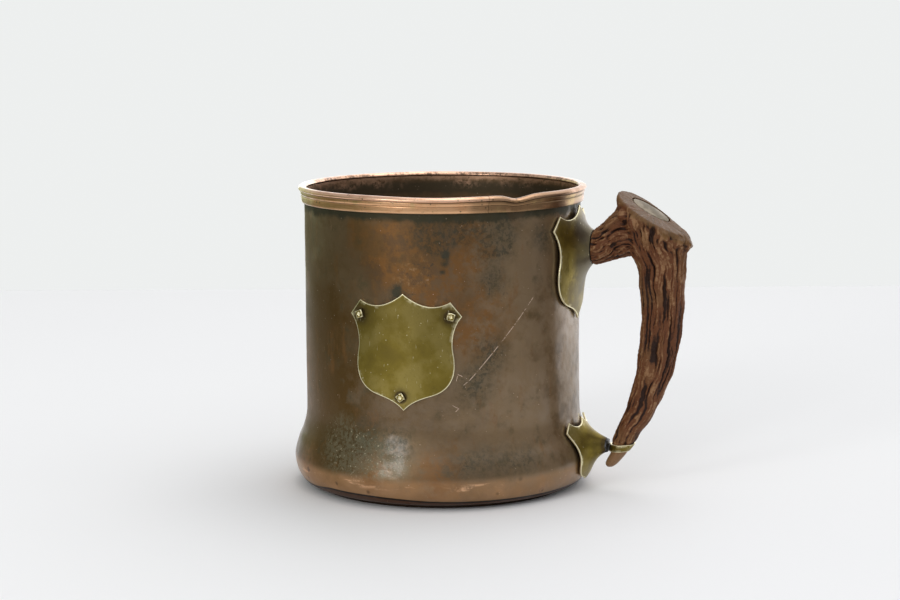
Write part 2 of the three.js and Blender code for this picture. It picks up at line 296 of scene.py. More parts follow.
class Finish:
    """A material in the making. place is the position on the object in millimetres."""

    def __init__(self, name, constants):
        self.material = bpy.data.materials.new(name)
        self.material.use_nodes = True
        tree = self.material.node_tree
        self.shader = next(node for node in tree.nodes if node.type == "BSDF_PRINCIPLED")
        for key, value in constants.items():
            self.shader.inputs[key].default_value = value
        at = add_node(tree, "ShaderNodeTexCoord", output="Object")
        settings = {"operation": "SCALE"}
        self.place = at.node("ShaderNodeVectorMath", settings, {0: at, "Scale": 1 / MM})

    def attribute(self, name):
        """A value that the piece's mesh carries on its points."""
        return self.place.node("ShaderNodeAttribute", {"attribute_name": name}, None, "Fac")

    def connect(self, base, roughness=None, coat=None, relief=None):
        """The material, with what varies over it; relief is a height and its depth in mm."""
        links = self.material.node_tree.links
        wires = {"Base Color": base, "Roughness": roughness, "Coat Weight": coat}
        if relief is not None:
            height, distance = relief
            inputs = {"Height": height, "Distance": distance * MM, "Strength": 1.0}
            wires["Normal"] = height.node("ShaderNodeBump", None, inputs)
        for key, wire in wires.items():
            if wire is not None:
                links.new(wire.socket, self.shader.inputs[key])
        return self.material


# Mesh making


def loft_faces(rows, columns, close_rows=False, cap=False):
    """Quads over rows of points that each close round; the ends can be capped."""
    faces = []
    for i in range(rows if close_rows else rows - 1):
        low = i * columns
        high = ((i + 1) % rows) * columns
        for j in range(columns):
            k = (j + 1) % columns
            faces.append((low + j, low + k, high + k, high + j))
    if cap:
        faces.append(tuple(reversed(range(columns))))
        faces.append(tuple(range((rows - 1) * columns, rows * columns)))
    return faces


def make_piece(name, points, faces, material, replaced, sharp=40, marks=None):
    """A piece of the mug from points in millimetres, riding on the mug's only body."""
    mesh = bpy.data.meshes.new(name)
    mesh.from_pydata((np.asarray(points) * MM).tolist(), [], faces)
    mesh.update()
    write_marks(mesh, marks or {})
    mesh.materials.append(material)
    piece = bpy.data.objects.new(name, mesh)
    bpy.context.scene.collection.objects.link(piece)
    shade(piece, sharp)
    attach(piece, "root")
    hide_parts(*replaced)
    return piece


def write_marks(mesh, marks):
    """Puts named values on a mesh's points, for its material to read."""
    for mark, values in marks.items():
        layer = mesh.attributes.new(mark, "FLOAT", "POINT")
        layer.data.foreach_set("value", np.asarray(values, np.float32))


def shade(piece, sharp):
    """Smooth shading, except at edges sharper than an angle in degrees."""
    mesh = piece.data
    mesh.polygons.foreach_set("use_smooth", np.ones(len(mesh.polygons), bool))
    mesh.set_sharp_from_angle(angle=math.radians(sharp))


def step(low, high, value):
    """0 up to low, 1 from high on, and a soft step between."""
    share = np.clip((value - low) / (high - low), 0, 1)
    return share * share * (3 - 2 * share)


def noise_at(points, size, shift=0.0):
    """Smooth noise of a size in millimetres at each point, from about -0.5 to 0.5."""
    moved = np.asarray(points) / size + shift
    return np.array([noise.noise(Vector(point)) for point in moved])


def smooth_line(points, per_span):
    """A line through the given points with an even curve between them."""
    points = np.asarray(points, float)
    padded = np.vstack([points[0], points, points[-1]])
    line = []
    for a, b, c, d in zip(padded, padded[1:], padded[2:], padded[3:]):
        for k in range(per_span):
            t = k / per_span
            pull = (c - a) * t + (2 * a - 5 * b + 4 * c - d) * t * t
            line.append(b + 0.5 * (pull + (3 * b - a - 3 * c + d) * t**3))
    return np.array([*line, points[-1]])


def offset_line(line, distance):
    """A (radius, height) line moved sideways, outwards on the wall if positive."""
    along = np.gradient(line, axis=0)
    along /= np.linalg.norm(along, axis=1)[:, None]
    return line + distance * np.column_stack([-along[:, 1], along[:, 0]])


def ring_at(x, wide, high, columns):
    """A ring round the X direction: half its width along Y and half its height along Z."""
    turns = TURN * np.arange(columns) / columns
    return np.column_stack([np.full(columns, x), wide * np.cos(turns), high * np.sin(turns)])


def copper():
    return bpy.context.scene.mug_copper


def brass():
    return bpy.context.scene.mug_brass


# The mug's wall


def foot_outline():
    """The flare from the straight wall down to the lip under the foot, as (radius, height)."""
    wall = copper().wall_radius / MM
    return smooth_line(
        [
            (wall, 34),
            (52.8, 27.5),
            (54.2, 21.9),
            (56.1, 17.2),
            (57.4, 11.4),
            (56.5, 6.2),
            (54.6, 2.9),
            (52.6, 1.7),
            (49.95, 2.4),
        ],
        8,
    )


def wall_outline(top):
    """The whole outside of the wall from a top edge down."""
    foot = foot_outline()
    straight = np.linspace(top, foot[0][1], 64)[:-1]
    upper = np.column_stack([np.full(len(straight), foot[0][0]), straight])
    return np.vstack([upper, foot])


def radius_at(line, heights):
    """The radius of an outline at each height, above the turn of its foot."""
    falling = line[: np.argmin(line[:, 1]) + 1][::-1]
    return np.interp(heights, falling[:, 1], falling[:, 0])


def degrees_from(place, points):
    """How far round the axis each point lies from a place, from -180 to 180 degrees."""
    around = np.arctan2(points[:, 1], points[:, 0])
    return np.degrees((around - place + math.pi) % TURN - math.pi)


def warp(points):
    """Moves points with the hand-raised wall: slow waves, the dent in the rim, and a long
    slight sag of the rim beside it."""
    points = np.array(points, float)
    x, y, z = points.T
    radius = np.hypot(x, y)
    waves = noise_at(points * (1, 1, 0.6), 24) + 0.35 * noise_at(points, 9, 4.0)
    waves *= 2 * copper().waviness / MM * step(2, 14, z)
    place = copper().dent_place
    turn = degrees_from(place, points)
    dent = np.exp(-((turn / np.where(turn < 0, 5.0, 6.5)) ** 2))
    waves -= 1.1 * dent * step(96, 115, z)
    drop = copper().dent_depth / MM * dent * step(103, 115, z)
    drop *= 0.35 + 0.65 * step(108.6, 114, z)
    sag = degrees_from(place - math.radians(33), points)
    drop += 0.5 * np.exp(-((sag / 19) ** 2)) * step(109, 114, z)
    scale = (radius + waves) / np.maximum(radius, 1)
    return np.column_stack([x * scale, y * scale, z - drop])


def turned(profile, columns, sweep=TURN, start=0.0):
    """Rows of points: a (radius, height) profile at each angle round the axis."""
    turns = start + sweep * np.arange(columns) / columns
    radius, height = np.asarray(profile).T
    return np.stack(
        [
            np.outer(np.cos(turns), radius),
            np.outer(np.sin(turns), radius),
            np.tile(height, (columns, 1)),
        ],
        axis=2,
    )


# Marks on the wall: angle in degrees from the handle, height and reach in mm, and softness.
GREY_SIDE = ((-28, 50, 42, 0.5), (-40, 100, 26, 0.5))
DARK_TOP = ((-95, 90, 15, 0.9), (-82, 99, 15, 0.9), (84, 94, 20, 0.9), (146, 40, 24, 0.9))
# Painted reflection: olive over the far side of the wall stands for dark plants reflected there.
PAINTED_PLANT_REFLECTION = ((-138, 58, 32, 0.5), (-150, 98, 14, 0.6), (-128, 22, 26, 0.5))
WARM_SIDE = (
    (-76, 86, 21, 0.5),
    (-98, 100, 13, 0.5),
    (-60, 70, 14, 0.6),
    (-64, 98, 12, 0.6),
    (38, 78, 22, 0.9),
    (110, 62, 24, 0.9),
    (172, 84, 24, 0.9),
    (-164, 44, 20, 0.9),
)
CRUST = ((-82, 87.5, 7.5, 0.4), (-89, 82, 5, 0.5), (-51, 82, 6, 0.5), (-74, 74, 5, 0.5))
BLOTS = (
    (-70.9, 93.4, 1.7, 0.9),
    (-71.6, 90.6, 1.6, 0.9),
    (-72.3, 87.8, 1.2, 0.9),
    (-90.5, 80, 2, 0.9),
)
SMUDGES = (
    (-93, 74, 5, 0.9),
    (-90, 80, 4, 0.7),
    (-79, 102, 9, 0.9),
    (-74, 97, 5, 0.8),
    (-66, 103, 7, 0.9),
    (-52, 96, 8, 0.9),
    (-48, 104, 9, 0.9),
    (-52, 84, 6, 0.9),
    (-28, 98, 6, 0.9),
    (-53, 57, 7, 0.9),
    (-60, 46, 8, 0.9),
    (-68, 15.5, 6, 0.9),
    (-58, 17, 7, 0.9),
    (-48, 16.5, 7, 0.9),
    (-38, 17, 6, 0.9),
    (-104, 25, 9, 0.9),
    (-90, 24, 7, 0.9),
    (70, 60, 22, 0.9),
    (140, 80, 18, 0.9),
)
LIME = (
    (-104, 18, 11, 0.8),
    (-116, 21, 11, 0.8),
    (-93, 16, 8, 0.8),
    (60, 20, 16, 0.8),
    (150, 19, 14, 0.8),
)
RUST = ((-136, 12, 8, 0.9), (-100, 12.5, 8, 0.9), (-74, 13, 9, 0.9), (20, 13, 10, 0.9))
# Painted highlight just above the foot, in front.
PAINTED_FOOT_HIGHLIGHT = ((-97, 12.6, 4, 0.7), (-92, 11.9, 4, 0.7), (-101, 14, 3, 0.7))
# Where the foot's band of rubbed copper and painted floor reflection is weaker.
DULL_FOOT = ((-36, 8, 13, 0.8), (-18, 8, 13, 0.8), (-62, 7, 12, 0.9))
# Dull rim beside the handle: patina, and painted shade that dims the reflection of the bright backdrop
# there.
DULL_RIM_PATINA_AND_SHADE = (
    (-52, 111, 10, 0.8),
    (-36, 112, 10, 0.8),
    (-20, 113, 10, 0.8),
    (-4, 112, 10, 0.8),
    (11, 112, 10, 0.8),
)
# Painted highlight: pale copper on the end of the rim away from the handle.
PAINTED_RIM_HIGHLIGHT = ((-152, 112, 16, 0.6), (-166, 112, 15, 0.6))

# Thin scratches: angle and height at the start, the same at the end, and half the width.
SCRATCHES = (
    (-33.4, 76.6, -61.5, 48.2, 0.09),
    (-61.5, 48.2, -64.2, 46.2, 0.07),
    (-62.5, 48.4, -66.5, 50.2, 0.07),
    (-66.5, 50.2, -67.2, 47.6, 0.06),
    (-69, 39, -66.2, 37.6, 0.04),
    (-66.2, 37.6, -68.4, 35.8, 0.04),
    (-104, 71, -99, 63, 0.03),
)


def patch(place, marks, edge):
    """Which parts of the wall lie in any of some marks with ragged edges."""
    radius = copper().wall_radius / MM
    total = 0.0
    for degrees, height, reach, soft in marks:
        turn = math.radians(degrees)
        centre = (radius * math.cos(turn), radius * math.sin(turn), height)
        away = place.away_from(centre) / reach + (edge - 0.5) * 1.3
        total = away.ramp(1 + soft * 0.5, 1 - soft) + total
    return total.clamp()


class WallGrain:
    """What the marks on the wall share: the place on it in millimetres, and noise in sizes."""

    def __init__(self, place):
        x, y, z = (place.axis(k) for k in range(3))
        self.place = place
        self.z = z
        self.arc = x.math("ARCTAN2", y, x) * (copper().wall_radius / MM)
        self.radius = (x * x + y * y) ** 0.5
        self.broad = place.cloud(26, 4, 0.6, 3.0)
        self.middle = place.cloud(9, 6, 0.65, 9.0)
        self.small = place.cloud(4, 6, 0.7, 12.0)
        self.fine = place.cloud(1.6, 6, 0.7, 1.0)
        self.streak = place.cloud(6, 5, 0.65, 5.0, (1, 1, 4))

    def patch(self, marks, edge=None):
        """Where some marks lie, with edges as ragged as the middle noise unless told."""
        return patch(self.place, marks, edge or self.middle)


def brown_patina(wall):
    """Brown, greyer by the handle, with olive, orange and dark clouds; the olive over the far side is
    a painted reflection of dark plants beside the mug.
    """
    colours = copper()
    middle, small, streak = wall.middle, wall.small, wall.streak
    base = (wall.patch(GREY_SIDE) * 0.8).blend(colours.brown, colours.greyed)
    base = base.tint(colours.shaded, wall.patch(DARK_TOP) * 0.8)
    # Painted reflection of dark plants, as olive over the far side of the wall.
    base = base.tint(colours.olive, wall.patch(PAINTED_PLANT_REFLECTION) * 0.9)
    base = base.tint(colours.olive, wall.broad.ramp(0.48, 0.62) * middle.ramp(0.4, 0.58) * 0.6)
    warm = wall.patch(WARM_SIDE) * (0.35 + 0.9 * small.ramp(0.4, 0.6))
    warm = warm + streak.ramp(0.52, 0.66) * middle.ramp(0.42, 0.6) * 0.8
    base = base.tint(colours.warm, (warm * 0.75).clamp())
    base = base.tint(colours.smudge, middle.ramp(0.5, 0.66) * small.ramp(0.42, 0.62) * 0.55)
    return base.tint(colours.glint, streak.ramp(0.42, 0.3) * small.ramp(0.5, 0.62) * 0.5)


def add_crust(wall, base):
    """Rusty crust with black hollows, in a few places; also returns where it is."""
    colours = copper()
    fine, small = wall.fine, wall.small
    crust = wall.patch(CRUST, fine)
    base = base.tint(colours.crust, crust * fine.ramp(0.5, 0.64) * small.ramp(0.42, 0.6) * 0.9)
    hollows = crust * fine.ramp(0.45, 0.34) * small.ramp(0.58, 0.44)
    return base.tint(colours.stain, hollows * 0.7), crust


def add_stains(wall, base):
    """Black blots, ragged smudges, and a dark line under the rim that is both green-black patina and
    painted shade under the band's overhang; also returns both.
    """
    smudges = wall.patch(SMUDGES) * (0.45 + 0.55 * wall.fine.ramp(0.42, 0.6)) * 0.85
    # Dark band under the rim: green-black patina, and painted shade under the band's overhang.
    rim_stain_and_shade = (wall.z + wall.small * 4).ramp(106.6, 109.3) * wall.z.ramp(112.5, 110)
    dark = (wall.patch(BLOTS, wall.small) + smudges + rim_stain_and_shade).clamp()
    return base.tint(copper().stain, dark * 0.88), dark, rim_stain_and_shade


def add_lime(wall, base):
    """Lime scale above the foot, with pits and pale flecks; also returns scale and pits."""
    colours = copper()
    fine, middle = wall.fine, wall.middle
    scale = wall.patch(LIME) * (0.3 + fine.ramp(0.4, 0.6))
    base = base.tint(colours.lime, scale.clamp() * 0.6)
    pits = fine.ramp(0.49, 0.4) * scale * wall.small.ramp(0.36, 0.54)
    base = base.tint(colours.pit, pits.clamp() * 0.75)
    flecks = wall.place.cloud(0.7, 3, 0.6, 9.0).ramp(0.6, 0.66) * scale * middle.ramp(0.4, 0.54)
    return base.tint(colours.fleck, flecks.clamp() * 0.9), scale, pits


def paint_foot_rub_and_reflection(wall, base):
    """Copper round the foot, rubbed and partly a painted reflection of the bright floor, with bright
    rubs, a painted highlight above the foot, dark spots and rust; also returns where.
    """
    colours = copper()
    middle, small, z = wall.middle, wall.small, wall.z
    # Rubbed copper round the foot, partly a painted reflection of the bright floor.
    foot = z.ramp(13.2, 9.6) * (1 - wall.patch(DULL_FOOT) * 0.4)
    base = base.tint(colours.foot, (foot * (0.28 + 1.05 * (middle - 0.17))).clamp())
    band = wall.place.cloud(5, 4, 0.6, 4.0, (4, 4, 0.7))
    rubs = z.ramp(10.8, 9.8) * z.ramp(7, 8.6) * band.ramp(0.52, 0.62) * middle.ramp(0.45, 0.56)
    base = base.tint(colours.rub, rubs * 0.75)
    # Painted highlight: a pale band just above the foot.
    painted_highlight = wall.patch(PAINTED_FOOT_HIGHLIGHT) * (band + wall.streak * 0.5).ramp(0.7, 0.82)
    base = base.tint(colours.painted_highlight, painted_highlight * 0.8)
    spots = wall.place.cells(8, 7.0).ramp(0.19, 0.1) * foot * small.ramp(0.4, 0.5)
    base = base.tint(colours.spot, spots * 0.9)
    return base.tint(colours.rust, wall.patch(RUST) * small.ramp(0.38, 0.56) * 0.6), foot


def paint_foot_shadow(wall, base):
    """Painted shade under the foot: a dark strip between two black painted shadow lines, wider away
    from the handle.
    """
    colours = copper()
    wide = wall.arc.ramp(-58, -98) * wall.arc.ramp(-124, -110)
    rise = wall.z - wide * 1.3 - (wall.middle - 0.5) * 0.5
    under = rise.ramp(3.7, 3.3)
    lines = under * rise.ramp(2.5, 3.1) + wall.z.ramp(1.9, 1.7) * under
    # Painted shade: the strip and its two lines stand for shade under the foot's lip.
    return base.tint(colours.under, under * 0.92).tint(colours.painted_shadow_line, lines), under


def line_mouth(wall, base):
    """Bright copper showing in rags inside the mouth, and brown below it."""
    colours = copper()
    inside = wall.radius.ramp(52.3, 51.9)
    rags = inside * (wall.z - wall.small * 9).ramp(103.5, 108)
    rags = rags * wall.broad.ramp(0.42, 0.58) * wall.fine.ramp(0.4, 0.56)
    lip = inside * (wall.z - wall.small * 5).ramp(108.6, 110.6)
    mouth = rags.larger(lip * wall.fine.ramp(0.34, 0.46))
    base = base.tint(colours.mouth, mouth * 0.9)
    return base.tint(colours.lining, wall.radius.ramp(52.2, 51.9) * (1 - mouth) * 0.15)


def long_scratches(wall):
    """Where the thin scratches lie on the wall."""
    radius = copper().wall_radius / MM
    total = 0.0
    for turn, rise, end_turn, end_rise, width in SCRATCHES:
        run = (math.radians(end_turn - turn) * radius, end_rise - rise)
        size = math.hypot(*run)
        ahead, up = run[0] / size, run[1] / size
        side = wall.arc - math.radians(turn) * radius
        height = wall.z - rise
        across = side * -up + height * ahead
        along = side * ahead + height * up
        away = across.math("ABSOLUTE", across + (wall.fine - 0.5) * 0.35)
        mark = away.ramp(width * 2.2, width * 0.8) * wall.fine.ramp(0.42, 0.53)
        total = mark * along.ramp(-0.4, 0.4) * along.ramp(size + 0.4, size - 0.4) + total
    return total.clamp()


def copper_finish():
    """Brown patina over copper, with orange, olive and black stains, pits and scratches, and painted
    light: a reflection over the far side and round the foot, a highlight above the foot, and shade
    under the rim and the foot.
    """
    finish = Finish("patinated_copper", {"Metallic": 0.85, "Coat Roughness": 0.17})
    wall = WallGrain(finish.place)
    fine, middle, small = wall.fine, wall.middle, wall.small
    base = brown_patina(wall)
    base, crust = add_crust(wall, base)
    base, dark, rim_stain_and_shade = add_stains(wall, base)
    base, scale, pits = add_lime(wall, base)
    base, foot = paint_foot_rub_and_reflection(wall, base)
    base, under = paint_foot_shadow(wall, base)
    base = line_mouth(wall, base)
    scratches = long_scratches(wall)
    specks = wall.place.cells(1.7, 3.0).ramp(0.14, 0.06) * small.ramp(0.5, 0.62)
    base = base.tint(copper().scratch, (scratches * 0.85 + specks * 0.5).clamp())

    roughness = 0.27 + 0.22 * middle + 0.14 * fine + dark * 0.12 + scale * 0.12 - foot * 0.05
    hairs = wall.place.cloud(0.7, 2, 0.5, 2.0, (1, 1, 12))
    relief = fine * 0.6 + small * 0.8 + wall.broad + hairs * 0.15 - scratches * 0.4 - pits * 0.8
    relief = relief + crust * fine * 1.2
    gloss = 0.35 + 0.35 * small.ramp(0.6, 0.4) - scale * 0.2 - dark * 0.15
    # The coat is also taken off where the plants' reflection is painted.
    gloss = gloss * (1 - wall.patch(PAINTED_PLANT_REFLECTION) * 0.95) - rim_stain_and_shade * 0.35 - under * 0.4
    return finish.connect(base, roughness.clamp(), coat=gloss.clamp(), relief=(relief, 0.06))


WALL_COLUMNS = 360


class MUG_OT_body(bpy.types.Operator):
    """Make the copper wall and the base pan"""

    bl_idname = "mug.body"
    bl_label = "Copper Body"

    def execute(self, context):
        finish = copper_finish()
        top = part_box("body_shell")[1].z / MM
        outside = wall_outline(top - 0.15)
        inside = offset_line(outside, -copper().wall_thickness / MM)[::-1]
        inside = np.vstack([inside[:64], inside[64::3], inside[-1]])
        profile = np.vstack([outside, inside])
        points = warp(turned(profile, WALL_COLUMNS).reshape(-1, 3))
        faces = loft_faces(WALL_COLUMNS, len(profile), close_rows=True)
        make_piece("mug_wall", points, faces, finish, ["body_shell"], 50)
        self.make_pan(finish)
        return {"FINISHED"}

    def make_pan(self, finish):
        """The flat pan with its flange turned up."""
        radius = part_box("base_pan")[1].x / MM
        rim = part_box("base_pan")[1].z / MM
        sheet = copper().wall_thickness / MM
        floor = sheet + 0.2
        hole = 0.4
        corners = [(hole, 0), (radius, 0), (radius, rim)]
        corners += [(radius - sheet, rim), (radius - sheet, floor), (hole, floor)]
        profile = smooth_corners(corners, 0.35)
        points = turned(profile, 180).reshape(-1, 3)
        upper = points[:, 2] > floor / 2
        points[:, 2] += np.where(upper, 0.12, 0) * noise_at(points, 14)
        faces = loft_faces(180, len(profile), close_rows=True)
        make_piece("mug_pan", points, faces, finish, ["base_pan"])


def smooth_corners(points, radius, steps=4):
    """A closed outline with each corner rounded by a radius, except the first and last."""
    points = [np.array(point, float) for point in points]
    outline = [points[0]]
    for before, corner, after in zip(points, points[1:], points[2:]):
        back = (before - corner) / np.linalg.norm(before - corner)
        ahead = (after - corner) / np.linalg.norm(after - corner)
        for t in np.linspace(0, 1, steps):
            outline.append(corner + radius * ((1 - t) ** 2 * back + t * t * ahead))
    return np.array([*outline, points[-1]])


def rim_finish():
    """Bright rubbed copper, with brown patina left in the grooves of the moulding."""
    colours = bpy.context.scene.mug_rim
    stain = copper().stain
    finish = Finish("rubbed_copper", {"Metallic": 1.0, "Coat Roughness": 0.08})
    place = finish.place
    groove = finish.attribute("groove")
    middle = place.cloud(7, 4, 0.6, 2.0)
    fine = place.cloud(1.1, 5, 0.65, 6.0)
    lines = place.cloud(1.0, 3, 0.5, 8.0, (5, 5, 0.35))
    band = place.axis("Z").ramp(113.2, 112.6)
    base = (band * 0.75).blend(colours.edge, colours.band)
    # Painted highlight at the far end of the rim.
    base = base.tint(colours.pale, patch(place, PAINTED_RIM_HIGHLIGHT, middle) * 0.9)
    base = base.tint(colours.line, lines.ramp(0.45, 0.62) * middle.ramp(0.4, 0.6) * 0.6)
    # Patina and painted shade: dims the rim's bright reflection beside the handle, and takes its coat
    # away.
    aged = patch(place, DULL_RIM_PATINA_AND_SHADE, middle)
    base = base.tint(colours.aged, aged * (0.72 + 0.2 * band))
    base = base.tint(colours.golden, band * place.cloud(9, 4, 0.6, 21.0).ramp(0.5, 0.64) * 0.6)
    base = base.tint(stain, (groove * 0.75 + fine.ramp(0.58, 0.72) * 0.4).clamp())
    specks = place.cells(1.9, 2.0).ramp(0.24, 0.1) * middle.ramp(0.48, 0.6)
    base = base.tint(stain, specks * 0.85)
    inner = (place.axis("X") ** 2 + place.axis("Y") ** 2) ** 0.5
    grime = inner.ramp(53.3, 52.0) * fine.ramp(0.4, 0.56) * middle.ramp(0.4, 0.56)
    base = base.tint(colours.grime, grime * 0.85)
    roughness = 0.2 + 0.16 * middle + groove * 0.2 + lines * 0.1
    relief = lines * 0.7 + fine * 0.5
    gloss = 0.5 - aged * 0.5
    return finish.connect(base, roughness.clamp(), coat=gloss, relief=(relief, 0.04))


# Section of the rim band as (radius, height): up its face, over the edge, and back inside.
RIM_PROFILE = (
    (52.95, 109.0),
    (53.1, 108.72),
    (53.35, 108.65),
    (53.6, 108.8),
    (53.75, 109.25),
    (53.84, 109.8),
    (53.9, 110.6),
    (53.92, 111.15),
    (53.8, 111.35),
    (53.8, 111.5),
    (53.98, 111.65),
    (54.12, 112.0),
    (54.2, 112.5),
    (54.22, 112.85),
    (54.12, 113.05),
    (54.16, 113.18),
    (54.5, 113.3),
    (54.82, 113.5),
    (54.92, 113.8),
    (54.84, 114.15),
    (54.55, 114.5),
    (54.1, 114.8),
    (53.6, 114.97),
    (53.1, 114.97),
    (52.6, 114.82),
    (52.2, 114.55),
    (51.9, 114.15),
    (51.8, 113.8),
    (52.2, 113.72),
    (52.95, 113.72),
    (52.95, 111.5),
)
RIM_COLUMNS = 420


class MUG_OT_rim(bpy.types.Operator):
    """Make the moulded copper band round the mouth"""

    bl_idname = "mug.rim"
    bl_label = "Rim Band"

    def execute(self, context):
        fine = smooth_line([*RIM_PROFILE, RIM_PROFILE[0]], 3)[:-1]
        radius, height = fine.T
        gap = 0.06 / 53
        sweep = (TURN - 2 * gap) * RIM_COLUMNS / (RIM_COLUMNS - 1)
        rings = turned(fine, RIM_COLUMNS, sweep, copper().seam_place + gap)
        points = warp(rings.reshape(-1, 3))
        faces = loft_faces(RIM_COLUMNS, len(fine), cap=True)
        groove = 0.6 * np.interp(height, [111.1, 111.4, 111.7], [0, 1, 0])
        groove += np.interp(height, [112.75, 113.1, 113.35], [0, 1, 0])
        groove += np.interp(height, [108.7, 109.0], [1, 0])
        groove = np.where(radius > 53.3, groove, 0)
        marks = {"groove": np.tile(groove, RIM_COLUMNS)}
        make_piece("mug_rim", points, faces, rim_finish(), ["rim_band"], 60, marks)
        return {"FINISHED"}


# Brass shields

# Right half of an outline from its apex: a pair of numbers ends a straight line, and six are
# the two guides and the end of a curve.
SHIELD = {
    "apex": (0, 21.7),
    "steps": [
        (4.5, 18.2, 10.5, 15, 17.4, 18.8),
        (21.7, 13.5),
        (18.4, 9.8, 17.6, 4.5, 18.5, -0.2),
        (19.6, -6, 18.9, -13, 10.9, -15.5),
        (6.5, -16.9, 3.5, -17.6, 0, -21.2),
    ],
}
SMALL_SHIELD = {
    "apex": (0, 27.5),
    "steps": [
        (2.5, 25.2, 7, 23.2, 11.2, 26.8),
        (14.6, 23.4),
        (12.2, 19.8, 10.8, 16, 11.1, 11.2),
        (11.2, 7, 8.2, 5.6, 5, 4.9),
        (3, 4.4, 1.5, 3.8, 0, 3.1),
    ],
}
GAP = 0.3  # between the wall and the sheet on it


def shield_outline(shield, spacing=0.45):
    """Points round a shield from its apex, clockwise as seen from outside."""
    here = np.array(shield["apex"], float)
    half = [here]
    for part in shield["steps"]:
        corners = np.vstack([here, np.array(part, float).reshape(-1, 2)])
        count = int(np.linalg.norm(corners[-1] - here) / spacing) + 2
        t = np.linspace(0, 1, count)[1:, None]
        if len(corners) == 2:
            curve = here + t * (corners[1] - here)
        else:
            a, b, c, d = corners
            curve = (1 - t) ** 3 * a + 3 * t * (1 - t) ** 2 * b + 3 * t * t * (1 - t) * c + t**3 * d
        half.extend(curve)
        here = corners[-1]
    right = np.array(half)
    left = right[1:-1][::-1] * (-1, 1)
    return np.vstack([right, left])


def sheet_face(y, z, trumpet):
    """How far out along X the face of a sheet lies: on the wall, drawn out near a trumpet."""
    sheet = brass().sheet / MM
    line = offset_line(wall_outline(113), GAP + sheet)
    radius = radius_at(line, z)
    on_wall = np.sqrt(np.maximum(radius * radius - y * y, 1))
    if not trumpet:
        return on_wall
    away = np.hypot(y, z - trumpet["z"])
    spread = trumpet["spread"] - trumpet["lean"] * (z - trumpet["z"]) / np.maximum(away, 1)
    rise = np.minimum(1, np.exp((trumpet["radius"] - away) / spread))
    return on_wall * (1 - rise) + trumpet["reach"] * rise


def sheet_normal(y, z, trumpet):
    """Which way the face of a sheet looks at each place on it."""
    nudge = 0.02
    x = sheet_face(y, z, trumpet)
    slope_y = (sheet_face(y + nudge, z, trumpet) - x) / nudge
    slope_z = (sheet_face(y, z + nudge, trumpet) - x) / nudge
    normal = np.column_stack([np.ones(len(y)), -slope_y, -slope_z])
    return normal / np.linalg.norm(normal, axis=1)[:, None]


def shield_sheet(shield, centre, trumpet, rings):
    """Rows of points over a shield's face, round its edge and back inside, with how far each
    point lies from the edge."""
    wall = copper().wall_radius / MM
    sheet = brass().sheet / MM
    edge = shield_outline(shield)
    edge = np.column_stack([wall * np.sin(edge[:, 0] / wall), edge[:, 1] + centre])
    middle = np.array([0, trumpet["z"] if trumpet else centre])
    mouth = trumpet["radius"] if trumpet else 0.2
    out = edge - middle
    reach = np.linalg.norm(out, axis=1)[:, None]
    out = out / reach
    shares = np.linspace(0, 1, rings) ** (1.35 if trumpet else 1)
    inset = 0.3
    tracks = [(mouth + (reach - inset - mouth) * share, 0.0) for share in shares]
    tracks += [(reach - 0.12, 0.03), (reach - 0.03, 0.12), (reach, 0.28), (reach, sheet - 0.2)]
    tracks += [(reach - 0.2, sheet)]
    tracks += [(mouth + (reach - inset - mouth) * share, sheet) for share in shares[::-3]]
    if trumpet:
        tracks += [(mouth + 0 * reach, sheet)]
    rows = []
    edges = []
    for distance, depth in tracks:
        place = middle + out * distance
        y, z = place.T
        face = np.column_stack([sheet_face(y, z, trumpet), y, z])
        rows.append(face - depth * sheet_normal(y, z, trumpet))
        nearest = np.linalg.norm(place[:, None] - edge[None], axis=2).min(axis=1)
        edges.append(nearest)
    return np.array(rows), np.array(edges)


def brass_finish(name, tarnish):
    """Olive aged brass: bright rubbed edges, darker clouds, pale specks and short scratches."""
    colours = brass()
    finish = Finish(name, {"Metallic": 0.95})
    place = finish.place
    edge = finish.attribute("edge")
    broad = place.cloud(12, 4, 0.55, 3.0)
    middle = place.cloud(4, 5, 0.6, 7.0)
    fine = place.cloud(0.8, 5, 0.7, 1.0)
    base = (broad.ramp(0.46, 0.64) * 0.6).blend(colours.face, colours.cloudy)
    shade = broad.ramp(0.52, 0.36) * tarnish + finish.attribute("shade")
    base = base.tint(colours.dark, shade.clamp())
    base = base.tint(colours.dark, fine.ramp(0.56, 0.72) * 0.35)
    fresh = finish.attribute("fresh") * middle.ramp(0.36, 0.54)
    base = base.tint(colours.fresh, fresh * 0.85)
    # Painted reflection: a greyish tint on the trumpet's flare for the white surroundings it reflects.
    base = base.tint(colours.painted_white_reflection, finish.attribute("painted_white_reflection") * (0.6 + 0.3 * broad))
    specks = place.cells(2.1, 5.0).ramp(0.13, 0.06) * middle.ramp(0.44, 0.56)
    nicks = place.cloud(1.2, 2, 0.5, 4.0, (0.3, 0.3, 2.4)).ramp(0.68, 0.74)
    nicks = nicks * middle.ramp(0.45, 0.6)
    rubbed = edge.ramp(0.5, 0.15) * (0.8 + 0.5 * fine)
    rubbed = rubbed + edge.ramp(1.6, 0.3) * middle.ramp(0.5, 0.62) * 0.4
    worn = (rubbed + specks * 0.45 + nicks * 0.4).clamp()
    base = base.tint(colours.worn, worn)
    roughness = 0.27 + 0.16 * middle + fine * 0.1 - worn * 0.08
    relief = fine * 0.5 + middle * 0.8 - (specks + nicks) * 0.5
    return finish.connect(base, roughness.clamp(), relief=(relief, 0.04))


